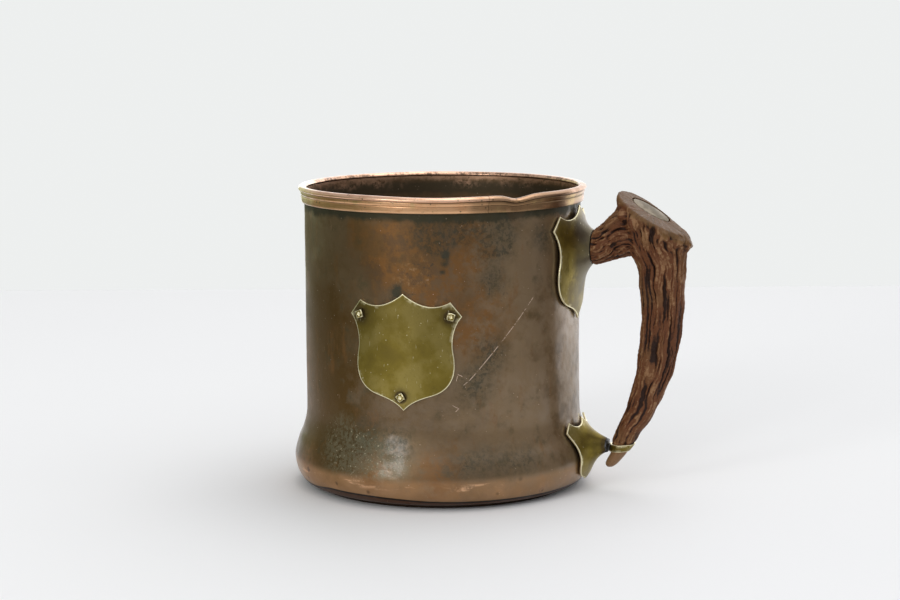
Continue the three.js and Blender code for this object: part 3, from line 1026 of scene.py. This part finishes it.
def make_shield(name, sheet, trumpet, material, node, wear, turn=0.0, bend=None):
    """A brass shield from its rows; wear gives its marks, bend moves it, and it turns round Z."""
    rows, edges = sheet
    flat = rows.reshape(-1, 3)
    bent = bend(flat) if bend else flat
    spin = np.array(Matrix.Rotation(turn, 3, "Z"))
    points = warp(bent @ spin.T)
    faces = loft_faces(len(rows), rows.shape[1], close_rows=bool(trumpet), cap=not trumpet)
    marks = {"edge": edges.ravel(), **wear(flat)}
    make_piece(name, points, faces, material, [node], 55, marks)


PLAQUE_TURN = math.radians(-88)
PLAQUE_HEIGHT = 58
# Places of the rivets across and up the plaque, from its middle.
RIVETS = {"left": (-17.1, 13.5), "right": (17.1, 13.5), "bottom": (-1, -16.3)}


class MUG_OT_plaque(bpy.types.Operator):
    """Make the shield plaque and its three hammered rivets"""

    bl_idname = "mug.plaque"
    bl_label = "Shield Plaque"

    def execute(self, context):
        material = brass_finish("plaque_brass", 0.22)
        sheet = shield_sheet(SHIELD, PLAQUE_HEIGHT, None, 44)
        node = "shield_plaque"
        make_shield("mug_plaque", sheet, None, material, node, self.ring, PLAQUE_TURN, self.beat)
        for index, (side, place) in enumerate(RIVETS.items()):
            self.make_rivet(side, place, index, material)
        return {"FINISHED"}

    def from_rivets(self, points):
        """Distance of each point from the nearest rivet, over the sheet."""
        wall = copper().wall_radius / MM
        across = np.arctan2(points[:, 1], points[:, 0]) * wall
        places = np.array(list(RIVETS.values()))
        rise = points[:, 2] - PLAQUE_HEIGHT
        gaps = np.hypot(across[:, None] - places[:, 0], rise[:, None] - places[:, 1])
        return gaps.min(axis=1)

    def beat(self, points):
        """Slight hollows from the hammer, deepest round the rivets."""
        hollow = 0.13 * noise_at(points, 7, 2.0) - 0.16 * step(3.4, 1.7, self.from_rivets(points))
        out = points[:, :2] / np.linalg.norm(points[:, :2], axis=1)[:, None]
        moved = points.copy()
        moved[:, :2] += out * hollow[:, None]
        return moved

    def ring(self, points):
        """Tarnish round each rivet, and a little towards the top."""
        near = self.from_rivets(points)
        around = 0.95 * step(2.7, 1.9, near) + 0.35 * step(5.0, 2.6, near)
        return {"shade": around + 0.3 * step(42, 76, points[:, 2])}

    def make_rivet(self, side, place, index, material):
        """A head beaten into a four-sided stud, its shank, and the set tail inside: each level
        has its place along the rivet, radius, squareness and twist."""
        columns = 40
        wall = copper().wall_radius / MM
        face = wall + GAP + brass().sheet / MM - 0.25
        inside = wall - copper().wall_thickness / MM
        levels = [
            (inside - 0.85, 0.3, 0, 0),
            (inside - 0.8, 1.45, 0, 0),
            (inside - 0.3, 1.65, 0, 0),
            (inside + 0.1, 1.6, 0, 0),
            (inside + 0.2, 0.9, 0, 0),
            (face - 0.1, 0.9, 0, 0),
            (face, 1.5, 0.3, 0),
            (face + 0.35, 1.68, 0.8, 0),
            (face + 0.85, 1.6, 1.0, 0),
            (face + 1.12, 1.38, 1.0, 0.1),
            (face + 1.2, 0.98, 1.0, 0.5),
            (face + 1.02, 0.62, 1.0, 0.78),
            (face + 0.8, 0.2, 0.5, 0.78),
        ]
        turns = TURN * np.arange(columns) / columns
        rows = []
        for x, radius, flat, twist in levels:
            lean = turns - (0.35 + index * 0.9 + twist)
            square = 1 / np.maximum(np.abs(np.cos(lean)), np.abs(np.sin(lean)))
            reach = radius * (1 + flat * 0.75 * (square - 1.15))
            rows.append(ring_at(x, reach, reach, columns))
        points = np.array(rows).reshape(-1, 3)
        lumps = 0.3 * noise_at(points, 0.8, index * 5.0)
        points[:, 0] += lumps * (points[:, 0] > face + 0.3)
        points[:, 2] += PLAQUE_HEIGHT + place[1]
        spin = np.array(Matrix.Rotation(PLAQUE_TURN + place[0] / wall, 3, "Z"))
        points = warp(points @ spin.T)
        faces = loft_faces(len(levels), columns, cap=True)
        high = np.array([level[0] for level in levels]).repeat(columns) - face
        marks = {
            "edge": np.interp(high, [0.3, 0.8, 1.1, 1.19, 1.2], [1.2, 0.3, 0.05, 0.3, 1.2]),
            "shade": np.interp(high, [0.0, 0.4, 0.6], [1, 0.9, 0]),
        }
        name = "plaque_rivet_" + side
        make_piece(name + "_head", points, faces, material, [name], 28, marks)


UPPER_CENTRE = 86.4  # height of the upper shield's middle
# A trumpet's height, radius at its mouth, reach from the mug's axis, the spread of its flare, and
# how much less it spreads above than below.
UPPER_TRUMPET = {"z": 92.4, "radius": 6.45, "reach": 59.4, "spread": 4.8, "lean": 1.3}
LOWER_TRUMPET = {"z": 16.9, "radius": 2.8, "reach": 64.9, "spread": 3.5, "lean": 0.0}


class MUG_OT_brackets(bpy.types.Operator):
    """Make the two raised shields that hold the handle"""

    bl_idname = "mug.brackets"
    bl_label = "Brackets"

    def execute(self, context):
        upper = shield_sheet(SHIELD, UPPER_CENTRE, UPPER_TRUMPET, 54)
        lower = shield_sheet(SMALL_SHIELD, 0, LOWER_TRUMPET, 44)
        material = brass_finish("bracket_brass", 0.6)
        for name, sheet, trumpet, wear in (
            ("upper", upper, UPPER_TRUMPET, self.socket_wear),
            ("lower", lower, LOWER_TRUMPET, self.cone_wear),
        ):
            make_shield(name + "_shield", sheet, trumpet, material, name + "_bracket", wear)
        return {"FINISHED"}

    def socket_wear(self, points):
        """Tarnish above and at the trumpet's mouth, a greyish painted reflection of white surroundings
        on its flare, fresh brass beside it.
        """
        x, y, z = points.T
        above = 0.8 * step(10, 4.5, np.hypot(y + 1, z - 97.5))
        mouth = step(56.8, 59.0, x) * 0.65
        beside = step(8.5, 2, np.hypot(np.abs(y) - 10, (z - 87) * 0.8))
        return {
            "shade": np.maximum(above, mouth),
            "fresh": beside * step(56.5, 54.5, x),
            "painted_white_reflection": step(53.5, 56.5, x) * (0.55 + 0.45 * step(92, 86, z)) + 0.3 * step(101, 105, z),
        }

    def cone_wear(self, points):
        """Tarnish at the cone's small end."""
        return {"shade": 0.9 * step(62.5, 64.9, points[:, 0])}


# Antler

# Sections from the tip to the cut crown: x and z, half the size along and across, the slope and
# roll in degrees, and how much the far side is flattened.
BEAM = [
    (66.3, 8.7, 0.9, 0.9, 0, 0, 0),
    (66.9, 9.8, 2, 1.9, 0, 0, 0),
    (68.1, 11.7, 2.6, 2.5, 0, 0, 0),
    (69.4, 13.9, 2.9, 2.9, 0, 0, 0),
    (69.9, 14.9, 3, 3, 0, 0, 0),
    (71.3, 18, 3.9, 3.7, 0, 0, 0),
    (72.1, 19.6, 4.4, 4.1, 0, 0, 0),
    (73.4, 22.2, 4.6, 4.2, 0, 0, 0),
    (76.3, 27.5, 5.4, 4.8, 0, 0, 0),
    (80.7, 38, 6.1, 5.7, 0, 0, 0),
    (84, 50, 7.05, 6.6, 0, 0, 0),
    (85.9, 65, 7.65, 7.2, 0, 0, 0),
    (85.9, 78, 8.2, 7.7, 0, 0, 0),
    (85.5, 86, 9, 8.2, 3, 0, 0),
    (83.7, 91.5, 11.2, 8.8, 8, 3, 0.25),
    (82.5, 98, 14, 9.8, 20, 7, 0.6),
    (82.6, 103.3, 16, 10.6, 29, 10, 1),
    (82.4, 105.2, 15.7, 10.2, 30, 10, 1),
    (82.4, 105.75, 14.9, 9.4, 30.2, 10, 1),
]
# Sections of the tine stub towards the wall: x and z, half the height and half the width.
TINE = [
    (80, 98.2, 7, 6.5),
    (72, 98.4, 9.4, 7.4),
    (67.8, 96.8, 9, 7.2),
    (64.6, 94.9, 7.7, 7),
    (62, 93.2, 7.1, 6.7),
    (59.7, 92.4, 6.5, 6.4),
]
# Lumps under the near edge of the crown: their place, size and rise.
LUMPS = (
    (73.5, -7.5, 104.8, 2.4, 0.9),
    (77.5, -9.5, 102.2, 2.4, 1.2),
    (81.5, -10, 98.6, 1.8, 0.8),
    (88, -9.8, 99, 1.8, 0.6),
    (94.5, -6, 95.6, 1.8, 0.6),
)
# Ridges from broad to fine: width, length, share of the whole, and shift of the noise.
RIDGES = ((1.6, 34, 0.5, 0.0), (0.95, 21, 0.85, 5.0), (0.5, 10, 0.4, 9.0))
# Half the disc's length and width.
DISC = (7.75, 4.0)
RECESS_DEPTH = 1.4


def crown_axes(slope, roll):
    """Directions along and across a crown section that slopes to +X and rolls to -Y."""
    a = math.radians(slope)
    b = math.radians(roll)
    along = np.array([math.cos(a), 0, -math.sin(a)])
    across = np.array([math.sin(a) * math.sin(b), math.cos(b), math.cos(a) * math.sin(b)])
    return along, across


def oval_ring(centre, along, across, half_along, half_across, columns):
    """An oval of points round a centre, in the plane of two directions."""
    turns = TURN * np.arange(columns) / columns
    return (
        np.asarray(centre)
        + half_along * np.outer(np.cos(turns), along)
        + half_across * np.outer(np.sin(turns), across)
    )


def beam_rows(columns=48):
    """Sections of the beam; the crown's far side is flattened, most at its outer end."""
    rows = []
    for x, z, half_along, half_across, slope, roll, flat in smooth_line(BEAM, 4):
        along, across = crown_axes(slope, roll)
        ring = oval_ring((x, 0, z), along, across, half_along, half_across, columns)
        out = ring - (x, 0, z)
        far = np.maximum(out @ across, 0)
        lost = flat * (0.3 + 0.4 * (out @ along) / half_along)
        rows.append(ring - np.outer(far * lost, across))
    return np.array(rows)


def tine_rows(columns=40):
    """Upright sections of the tine stub."""
    up = np.array([0, 0, 1.0])
    side = np.array([0, 1.0, 0])
    rows = [
        oval_ring((x, 0, z), up, side, half_up, half_side, columns)
        for x, z, half_up, half_side in smooth_line(TINE, 4)
    ]
    return np.array(rows)


def crown_frame():
    """The middle of the cut face and its directions along, across and out."""
    x, z, _, _, slope, roll, _ = BEAM[-1]
    along, across = crown_axes(slope, roll)
    return np.array([x, 0, z]), along, across, np.cross(along, across)


def flow(points, stations, sizes):
    """For each point: distance along a centreline, place round it, size there, and how far out."""
    line = np.column_stack([stations[:, 0], np.zeros(len(stations)), stations[:, 1]])
    gaps = np.linalg.norm(points[:, None] - line[None], axis=2)
    nearest = gaps.argmin(axis=1)
    run = np.concatenate([[0], np.cumsum(np.linalg.norm(np.diff(line, axis=0), axis=1))])
    ahead = np.gradient(line, axis=0)
    ahead /= np.linalg.norm(ahead, axis=1)[:, None]
    away = points - line[nearest]
    lead = (away * ahead[nearest]).sum(axis=1)
    sideways = np.cross(ahead[nearest], (0, 1, 0))
    round_place = np.arctan2(away[:, 1], (away * sideways).sum(axis=1))
    return run[nearest] + lead, round_place, sizes[nearest], gaps.min(axis=1) / sizes[nearest]


def bumps(points):
    """How high each point lies on the lumps under the near edge of the crown."""
    total = 0
    for x, y, z, size, rise in LUMPS:
        away = np.linalg.norm(points - (x, y, z), axis=1) / size
        total = total + rise * np.exp(-(away**2))
    return total


def ridges(points):
    """The antler's skin at each point: the height of its long wandering ridges, from about
    -1 to 1, how far it is polished away, and the depth below the cut crown."""
    beam = smooth_line(BEAM, 12)
    tine = smooth_line(TINE, 12)
    heights = []
    nearness = []
    for stations, sizes in ((beam, beam[:, 3]), (tine, tine[:, 2])):
        along, place, size, out = flow(points, stations, sizes)
        round_it = np.column_stack([size * np.cos(place), size * np.sin(place), along])
        sway = 1.6 * noise_at(round_it * (1, 1, 0.7), 8, 3.0) + 0.45 * noise_at(round_it, 2.4, 7.0)
        place = place + sway / size
        total = 0
        for cell, pull, share, shift in RIDGES:
            spot = np.column_stack(
                [size / cell * np.cos(place), size / cell * np.sin(place), along / pull]
            )
            wave = noise_at(spot, 1.0, shift)
            total = total + share * (wave * 1.6 + 0.5 - 2 * np.abs(wave))
        heights.append(total)
        nearness.append(out)
    on_tine = step(-0.15, 0.15, nearness[0] - nearness[1])
    height = heights[0] * (1 - on_tine) + heights[1] * on_tine
    height = height + 0.35 * noise_at(points, 1.1, 2.0)
    centre, along, across, out = crown_frame()
    depth = (centre - points) @ out
    lumps = noise_at(points, 4.2, 6.0)
    ragged = 2.6 * lumps + 1.2 * noise_at(points, 1.6, 1.0)
    crown = step(2.6, 0.7, depth - ragged)
    height = height + 1.2 * step(0.1, 0.3, lumps) * step(4, 2.4, depth) * step(0.5, 1.5, depth)
    height = height + 0.8 * bumps(points)
    tip = step(17.8, 16.2, points[:, 2] + ragged * 0.3)
    return height, np.maximum(crown, tip), depth


def antler_finish():
    """Red-brown antler: dark grooves, rubbed tan ridges, and a polished crown and tip."""
    colours = bpy.context.scene.mug_antler
    finish = Finish("stag_antler", {"Specular IOR Level": 0.22})
    place = finish.place
    height = finish.attribute("height")
    polish = finish.attribute("polish")
    broad = place.cloud(14, 3, 0.5, 6.0)
    middle = place.cloud(4, 4, 0.6, 2.0)
    fine = place.cloud(0.6, 5, 0.7, 5.0, (1, 1, 2))
    grains = place.cells(0.8, 2.0)
    level = height + (fine - 0.5) * 0.7 + (middle - 0.5) * 0.45
    threads = place.cloud(0.9, 4, 0.6, 11.0, (1, 1, 0.22))
    base = (broad.ramp(0.5, 0.66) * 0.7).blend(colours.skin, colours.tan)
    base = base.tint(colours.groove, (level + threads - 0.5).ramp(0.05, -0.75))
    base = base.tint(colours.crest, (level + threads * 0.8 - 0.4).ramp(0.4, 0.95) * 0.75)
    specks = grains.ramp(0.24, 0.1) * middle.ramp(0.48, 0.6) * level.ramp(0.1, 0.6)
    base = base.tint(colours.speck, specks * 0.7)
    worn = (polish * (0.7 + 0.5 * (middle - 0.3))).clamp()
    base = base.tint(colours.polish, worn)
    base = base.tint(colours.tip, worn * place.axis("Z").ramp(40, 20))
    dirt = polish * fine.ramp(0.5, 0.66) * middle.ramp(0.42, 0.6)
    base = base.tint(colours.dirt, dirt * 0.75)
    roughness = 0.62 - polish * 0.2 - level.ramp(0.4, 1.0) * 0.14
    relief = fine * 0.8 + grains * 0.3
    return finish.connect(base, roughness.clamp(), relief=(relief, 0.16))


def settle(piece, kind, **settings):
    """Puts a modifier's result into the piece's mesh."""
    modifier = piece.modifiers.new(kind, kind)
    for name, value in settings.items():
        setattr(modifier, name, value)
    view = bpy.context.evaluated_depsgraph_get()
    mesh = bpy.data.meshes.new_from_object(piece.evaluated_get(view))
    piece.modifiers.clear()
    piece.data = mesh


def read_points(piece):
    """The points of a piece's mesh, in millimetres."""
    mesh = piece.data
    points = np.empty(len(mesh.vertices) * 3)
    mesh.vertices.foreach_get("co", points)
    return points.reshape(-1, 3) / MM


def read_normals(piece):
    mesh = piece.data
    normals = np.empty(len(mesh.vertices) * 3)
    mesh.vertices.foreach_get("normal", normals)
    return normals.reshape(-1, 3)


def write_points(piece, points):
    piece.data.vertices.foreach_set("co", (points * MM).ravel())
    piece.data.update()


def crown_oval(half_long, half_wide, top, bottom, columns=96, crown=0.0, shift=0.0):
    """A short oval plug in the cut face, from a top down to a bottom above that face."""
    centre, along, across, out = crown_frame()
    centre = centre - 1.65 * along + (1.6 + shift) * across
    soft = min(0.22, half_wide * 0.1)
    long, wide = half_long - soft, half_wide - soft
    levels = [(bottom, half_long, half_wide), (top - soft, half_long, half_wide)]
    levels += [(top - soft * 0.3, half_long - 0.3 * soft, half_wide - 0.3 * soft), (top, long, wide)]
    for share in (0.93, 0.8, 0.6, 0.4, 0.2, 0.05):
        levels.append((top + crown * (1 - share**2), long * share, wide * share))
    rows = [
        oval_ring(centre + out * level, along, across, half_along, half_across, columns)
        for level, half_along, half_across in levels
    ]
    return np.array(rows)


class MUG_OT_antler(bpy.types.Operator):
    """Make the antler: beam, tine stub, ridges, cut crown and the recess in it"""

    bl_idname = "mug.antler"
    bl_label = "Antler Handle"

    def execute(self, context):
        settings = context.scene.mug_antler
        beam = beam_rows()
        tine = tine_rows()
        points = np.vstack([beam.reshape(-1, 3), tine.reshape(-1, 3)])
        faces = loft_faces(len(beam), beam.shape[1], cap=True)
        shift = beam.shape[0] * beam.shape[1]
        for face in loft_faces(len(tine), tine.shape[1], cap=True):
            faces.append(tuple(corner + shift for corner in face))
        material = antler_finish()
        piece = make_piece("antler", points, faces, material, ["antler_handle"])
        settle(piece, "REMESH", mode="VOXEL", voxel_size=settings.grain)
        settle(piece, "SMOOTH", factor=0.5, iterations=5)
        self.carve(piece, settings.ridge / MM)
        self.cut_recess(piece)
        height, polish, _ = ridges(read_points(piece))
        write_marks(piece.data, {"height": height, "polish": polish})
        shade(piece, 50)
        return {"FINISHED"}

    def carve(self, piece, ridge):
        """Raises the ridges and knobs, and keeps everything below the cut face."""
        points = read_points(piece)
        normals = read_normals(piece)
        height, polish, depth = ridges(points)
        strength = ridge * (1 - 0.88 * polish) * (0.55 + 0.45 * step(20, 60, points[:, 2]))
        strength = strength * step(59.6, 61.5, points[:, 0])
        knobs = 1.8 * noise_at(points, 4.2, 6.0) * step(9, 4.5, depth) * step(0.4, 2.6, depth)
        knobs += bumps(points) * step(0.0, 1.4, depth)
        knobs += 0.5 * noise_at(points, 7, 1.0) * step(62, 66, points[:, 0]) * step(1, 5, depth)
        points = points + normals * (height * strength + knobs)[:, None]
        centre, _, _, out = crown_frame()
        over = np.maximum((points - centre) @ out, 0)
        write_points(piece, points - out * over[:, None])

    def cut_recess(self, piece):
        """Cuts the oval hollow that the disc sits in."""
        rows = crown_oval(DISC[0] + 0.5, DISC[1] + 0.6, 3, -RECESS_DEPTH)
        faces = loft_faces(len(rows), rows.shape[1], cap=True)
        mesh = bpy.data.meshes.new("recess")
        mesh.from_pydata((rows.reshape(-1, 3) * MM).tolist(), [], faces)
        cutter = bpy.data.objects.new("recess", mesh)
        bpy.context.scene.collection.objects.link(cutter)
        settle(piece, "BOOLEAN", operation="DIFFERENCE", solver="EXACT", object=cutter)
        bpy.data.objects.remove(cutter)


class MUG_OT_crown_disc(bpy.types.Operator):
    """Make the oval disc in the antler's cut crown"""

    bl_idname = "mug.crown_disc"
    bl_label = "Crown Disc"

    def execute(self, context):
        finish = Finish("white_metal", {"Metallic": 0.85})
        place = finish.place
        middle = place.cloud(5, 4, 0.55, 2.0)
        fine = place.cloud(0.6, 4, 0.7, 5.0, (6, 1, 1))
        light, dull, speck = (0.27, 0.225, 0.165), (0.165, 0.135, 0.092), (0.12, 0.1, 0.08)
        base = middle.ramp(0.42, 0.62).blend(light, dull)
        base = base.tint(speck, place.cells(2, 2.0).ramp(0.16, 0.08) * 0.7)
        roughness = 0.36 + 0.2 * middle
        material = finish.connect(base, roughness, relief=(fine, 0.03))
        rows = crown_oval(DISC[0], DISC[1], -0.15, -RECESS_DEPTH + 0.3, crown=0.3, shift=0.25)
        faces = loft_faces(len(rows), rows.shape[1], cap=True)
        points = rows.reshape(-1, 3)
        make_piece("crown_plate", points, faces, material, ["crown_disc"], 60)
        return {"FINISHED"}


def dull_finish(name, light, dark, roughness, metallic):
    """A rough cast lump: solder or pitch."""
    finish = Finish(name, {"Metallic": metallic})
    middle = finish.place.cloud(2.2, 5, 0.65, 4.0)
    base = middle.ramp(0.4, 0.6).blend(light, dark)
    rough = roughness + 0.2 * middle
    return finish.connect(base, rough.clamp(), relief=(middle, 0.15))


class MUG_OT_collar(bpy.types.Operator):
    """Make the collar round the antler's tip, the solder lumps and the pitch in the socket"""

    bl_idname = "mug.collar"
    bl_label = "Tip Collar"

    def execute(self, context):
        self.make_collar()
        self.make_solder()
        self.make_cement()
        self.make_base_solder()
        return {"FINISHED"}

    def make_collar(self):
        """A band that widens upwards; its section has the rise and how far out it lies."""
        along = np.array([1.0, 0, 0])
        across = np.array([0, 1.0, 0])
        low, tall, columns = 14.95, 3.0, 96
        rows = []
        edges = []
        section = [
            (0.0, 0.32),
            (0.06, 0.78),
            (0.25, 0.98),
            (1.5, 1.02),
            (2.6, 1.06),
            (2.88, 0.98),
            (3.0, 0.72),
            (2.9, 0.3),
            (1.5, 0.22),
        ]
        for rise, extra in section:
            share = rise / tall
            centre = (70 + 1.3 * share, 0, low + rise)
            half_along = 3.0 + 0.85 * share + extra
            half_across = 2.95 + 0.7 * share + extra
            rows.append(oval_ring(centre, along, across, half_along, half_across, columns))
            edges.append(np.full(columns, min(tall - rise, rise) * 0.9 + 0.1))
        points = np.array(rows).reshape(-1, 3)
        points[:, 2] += 0.25 * noise_at(points, 4, 3.0) + 0.05 * (points[:, 0] - 70.6)
        marks = {"edge": np.concatenate(edges), "shade": 0.25 * (noise_at(points, 1.5) > 0.15)}
        faces = loft_faces(len(rows), columns, close_rows=True)
        material = brass_finish("collar_brass", 0.5)
        make_piece("collar", points, faces, material, ["tip_collar"], 60, marks)

    def make_solder(self):
        """The dark lump between the cone and the collar."""
        material = dull_finish("dark_solder", (0.10, 0.10, 0.10), (0.03, 0.03, 0.032), 0.35, 0.7)
        stations = [(62.9, 0.6), (63, 1.4), (64.4, 1.7), (64.9, 2.75)]
        stations += [(65.35, 2.9), (65.8, 2.5), (66.0, 1.2)]
        rows = [ring_at(x, size, 0.95 * size, 36) for x, size in stations]
        points = np.array(rows).reshape(-1, 3)
        points += 0.5 * noise_at(points, 1.6, 2.0)[:, None] * (0.4, 1, 1)
        points[:, 2] += LOWER_TRUMPET["z"]
        faces = loft_faces(len(stations), 36, cap=True)
        make_piece("solder_lump", points, faces, material, ["collar_solder"])

    def make_cement(self):
        """The pitch that fills the trumpet behind the antler's tenon."""
        material = dull_finish("setting_pitch", (0.05, 0.032, 0.02), (0.02, 0.013, 0.009), 0.45, 0.0)
        stations = [(53.5, 1), (53.5, 8.8), (54.6, 8.4), (56.4, 6.8)]
        stations += [(58, 5.85), (58.95, 5.5), (58.95, 1)]
        points = np.array([ring_at(x, size, size, 64) for x, size in stations]).reshape(-1, 3)
        points[:, 2] += UPPER_TRUMPET["z"]
        faces = loft_faces(len(stations), 64, cap=True)
        make_piece("socket_pitch", points, faces, material, ["socket_cement"])

    def make_base_solder(self):
        """The ring of solder between the pan and the foot's lip."""
        material = dull_finish("base_seam_solder", (0.17, 0.165, 0.155), (0.07, 0.065, 0.06), 0.3, 0.8)
        corners = [(49.8, 4.4), (49.8, 3.75), (51.4, 3.35), (50.4, 4.2), (49.9, 4.9)]
        profile = smooth_corners(corners, 0.2)
        points = turned(profile, 180).reshape(-1, 3)
        points[:, 2] += 0.35 * noise_at(points, 3)
        faces = loft_faces(180, len(profile), close_rows=True)
        make_piece("base_seam", points, faces, material, ["base_solder"])


# Stage

# Oval soft lights, placed in metres as the camera sees them.
LIGHTS = {
    "overhead": {
        "place": (0.25, 0.15, 1.5),
        "target": (0, 0, 0),
        "size": (1.2, 1.2),
        "power": 4.1,
    },
    "window": {
        "place": (-0.93, -1.19, 0.56),
        "target": (0, 0, 0.03),
        "size": (0.42, 0.9),
        "power": 6.2,
    },
}
TABLE_CORNERS = ((-0.21, -0.32), (0.25, -0.32), (0.33, 0.53), (-0.33, 0.53))


class MUG_OT_stage(bpy.types.Operator):
    """Make the floor, the studio light and the camera"""

    bl_idname = "mug.stage"
    bl_label = "Stage"

    def execute(self, context):
        settings = context.scene.mug_stage
        self.make_table(settings)
        for name, light in LIGHTS.items():
            self.add_light(name, settings.azimuth, **light)
        self.make_sky(settings)
        self.make_camera(settings)
        context.scene.view_settings.view_transform = "Standard"
        return {"FINISHED"}

    def make_table(self, settings):
        """A white table that ends short of the reflections of the upper wall."""
        finish = Finish("table_card", {"Specular IOR Level": 0.15, "Roughness": 0.8})
        cloud = finish.place.cloud(260, 3, 0.5, 1.0)
        material = finish.connect(cloud.blend((0.84, 0.845, 0.85), (0.86, 0.865, 0.865)))
        spin = Matrix.Rotation(settings.azimuth, 3, "Z")
        corners = [spin @ Vector((x, y, 0)) for x, y in TABLE_CORNERS]
        mesh = bpy.data.meshes.new("table")
        mesh.from_pydata(corners, [], [(0, 1, 2, 3)])
        mesh.materials.append(material)
        table = bpy.data.objects.new("table", mesh)
        bpy.context.scene.collection.objects.link(table)

    def add_light(self, name, turn, place, target, size, power):
        light = bpy.data.lights.new(name, "AREA")
        light.shape = "ELLIPSE"
        light.size, light.size_y = size
        light.energy = power
        lamp = bpy.data.objects.new(name, light)
        spin = Matrix.Rotation(turn, 3, "Z")
        lamp.location = spin @ Vector(place)
        aim = spin @ Vector(target) - lamp.location
        lamp.rotation_euler = aim.to_track_quat("-Z", "Y").to_euler()
        bpy.context.scene.collection.objects.link(lamp)

    def make_sky(self, settings):
        """A white sweep behind and to the right, a dim room in front, a pale sky to the eye.

        turn is the direction in degrees from where the camera stands, positive to its right.
        """
        world = bpy.data.worlds.new("studio")
        world.use_nodes = True
        bpy.context.scene.world = world
        world.node_tree.nodes.clear()
        ray = add_node(world.node_tree, "ShaderNodeTexCoord", output="Generated")
        spin = {"Vector": ray, "Rotation": (0, 0, -settings.azimuth)}
        ray = ray.node("ShaderNodeMapping", {"vector_type": "POINT"}, spin)
        x, y, z = (ray.axis(k) for k in range(3))
        turn = x.math("ARCTAN2", x, y * -1) * (180 / math.pi)
        edge = turn - (z + 0.16).larger(0).smaller(0.07) * 230
        sweep = edge.ramp(106, 109).larger(turn.ramp(-164, -170))
        room = 0.36 - turn.ramp(-30, -75) * 0.2 - turn.ramp(82, 96) * 0.18
        room = room + turn.ramp(-95, -135) * z.ramp(-0.13, -0.1) * 0.4
        low = room * (1 - sweep) + sweep * 2.0
        above = z.ramp(0.12, 0.6)
        sides = turn.ramp(50, 110) * 0.35 - turn.ramp(-25, -75) * (1 - sweep) * 0.45
        bright = low * (1 - above) + above * (0.9 + sides)
        green = low * (1 - above) * turn.ramp(-40, -80) * (1 - sweep)
        inputs = {0: bright, 1: bright + green * 0.08, 2: bright * 1.02 - green * 0.35}
        glow = bright.node("ShaderNodeCombineColor", None, inputs)
        lit = glow.node("ShaderNodeBackground", None, {"Color": glow, "Strength": 1.0})
        pale = (0.85, 0.865, 0.86, 1)
        seen = glow.node("ShaderNodeBackground", None, {"Color": pale, "Strength": 1.0})
        eye = glow.node("ShaderNodeLightPath", None, None, "Is Camera Ray")
        both = glow.node("ShaderNodeMixShader", None, {0: eye, 1: lit, 2: seen})
        both.node("ShaderNodeOutputWorld", None, {"Surface": both})

    def make_camera(self, settings):
        data = bpy.data.cameras.new("camera")
        data.lens = settings.lens
        data.sensor_width = 36
        data.clip_end = 50
        camera = bpy.data.objects.new("camera", data)
        bpy.context.scene.collection.objects.link(camera)
        turn = settings.azimuth
        place = Vector((math.sin(turn), -math.cos(turn), 0)) * settings.distance
        place.z = settings.height
        aim = Matrix.Rotation(turn - settings.pan, 4, "Z")
        tip = Matrix.Rotation(math.pi / 2 - settings.pitch, 4, "X")
        roll = Matrix.Rotation(settings.roll, 4, "Z")
        camera.matrix_world = Matrix.Translation(place) @ aim @ tip @ roll
        bpy.context.scene.camera = camera


class MUG_PT_sidebar(bpy.types.Panel):
    """The mug's operators and settings"""

    bl_idname = "MUG_PT_sidebar"
    bl_label = "Antler Handle Mug"
    bl_space_type = "VIEW_3D"
    bl_region_type = "UI"
    bl_category = "Mug"

    def draw(self, context):
        for operator in OPERATORS:
            self.layout.operator(operator.bl_idname)
        for name, group in SETTINGS.items():
            box = self.layout.box()
            for key in group.__annotations__:
                box.prop(getattr(context.scene, name), key)


OPERATORS = (
    MUG_OT_stage,
    MUG_OT_body,
    MUG_OT_rim,
    MUG_OT_plaque,
    MUG_OT_brackets,
    MUG_OT_antler,
    MUG_OT_crown_disc,
    MUG_OT_collar,
)
CLASSES = (*SETTINGS.values(), *OPERATORS, MUG_PT_sidebar)


def register():
    for cls in CLASSES:
        bpy.utils.register_class(cls)
    for name, group in SETTINGS.items():
        setattr(bpy.types.Scene, name, bpy.props.PointerProperty(type=group))


def unregister():
    for name in SETTINGS:
        delattr(bpy.types.Scene, name)
    for cls in reversed(CLASSES):
        bpy.utils.unregister_class(cls)


def main():
    register()
    for operator in OPERATORS:
        group, name = operator.bl_idname.split(".")
        getattr(getattr(bpy.ops, group), name)()


if __name__ == "__main__":
    main()
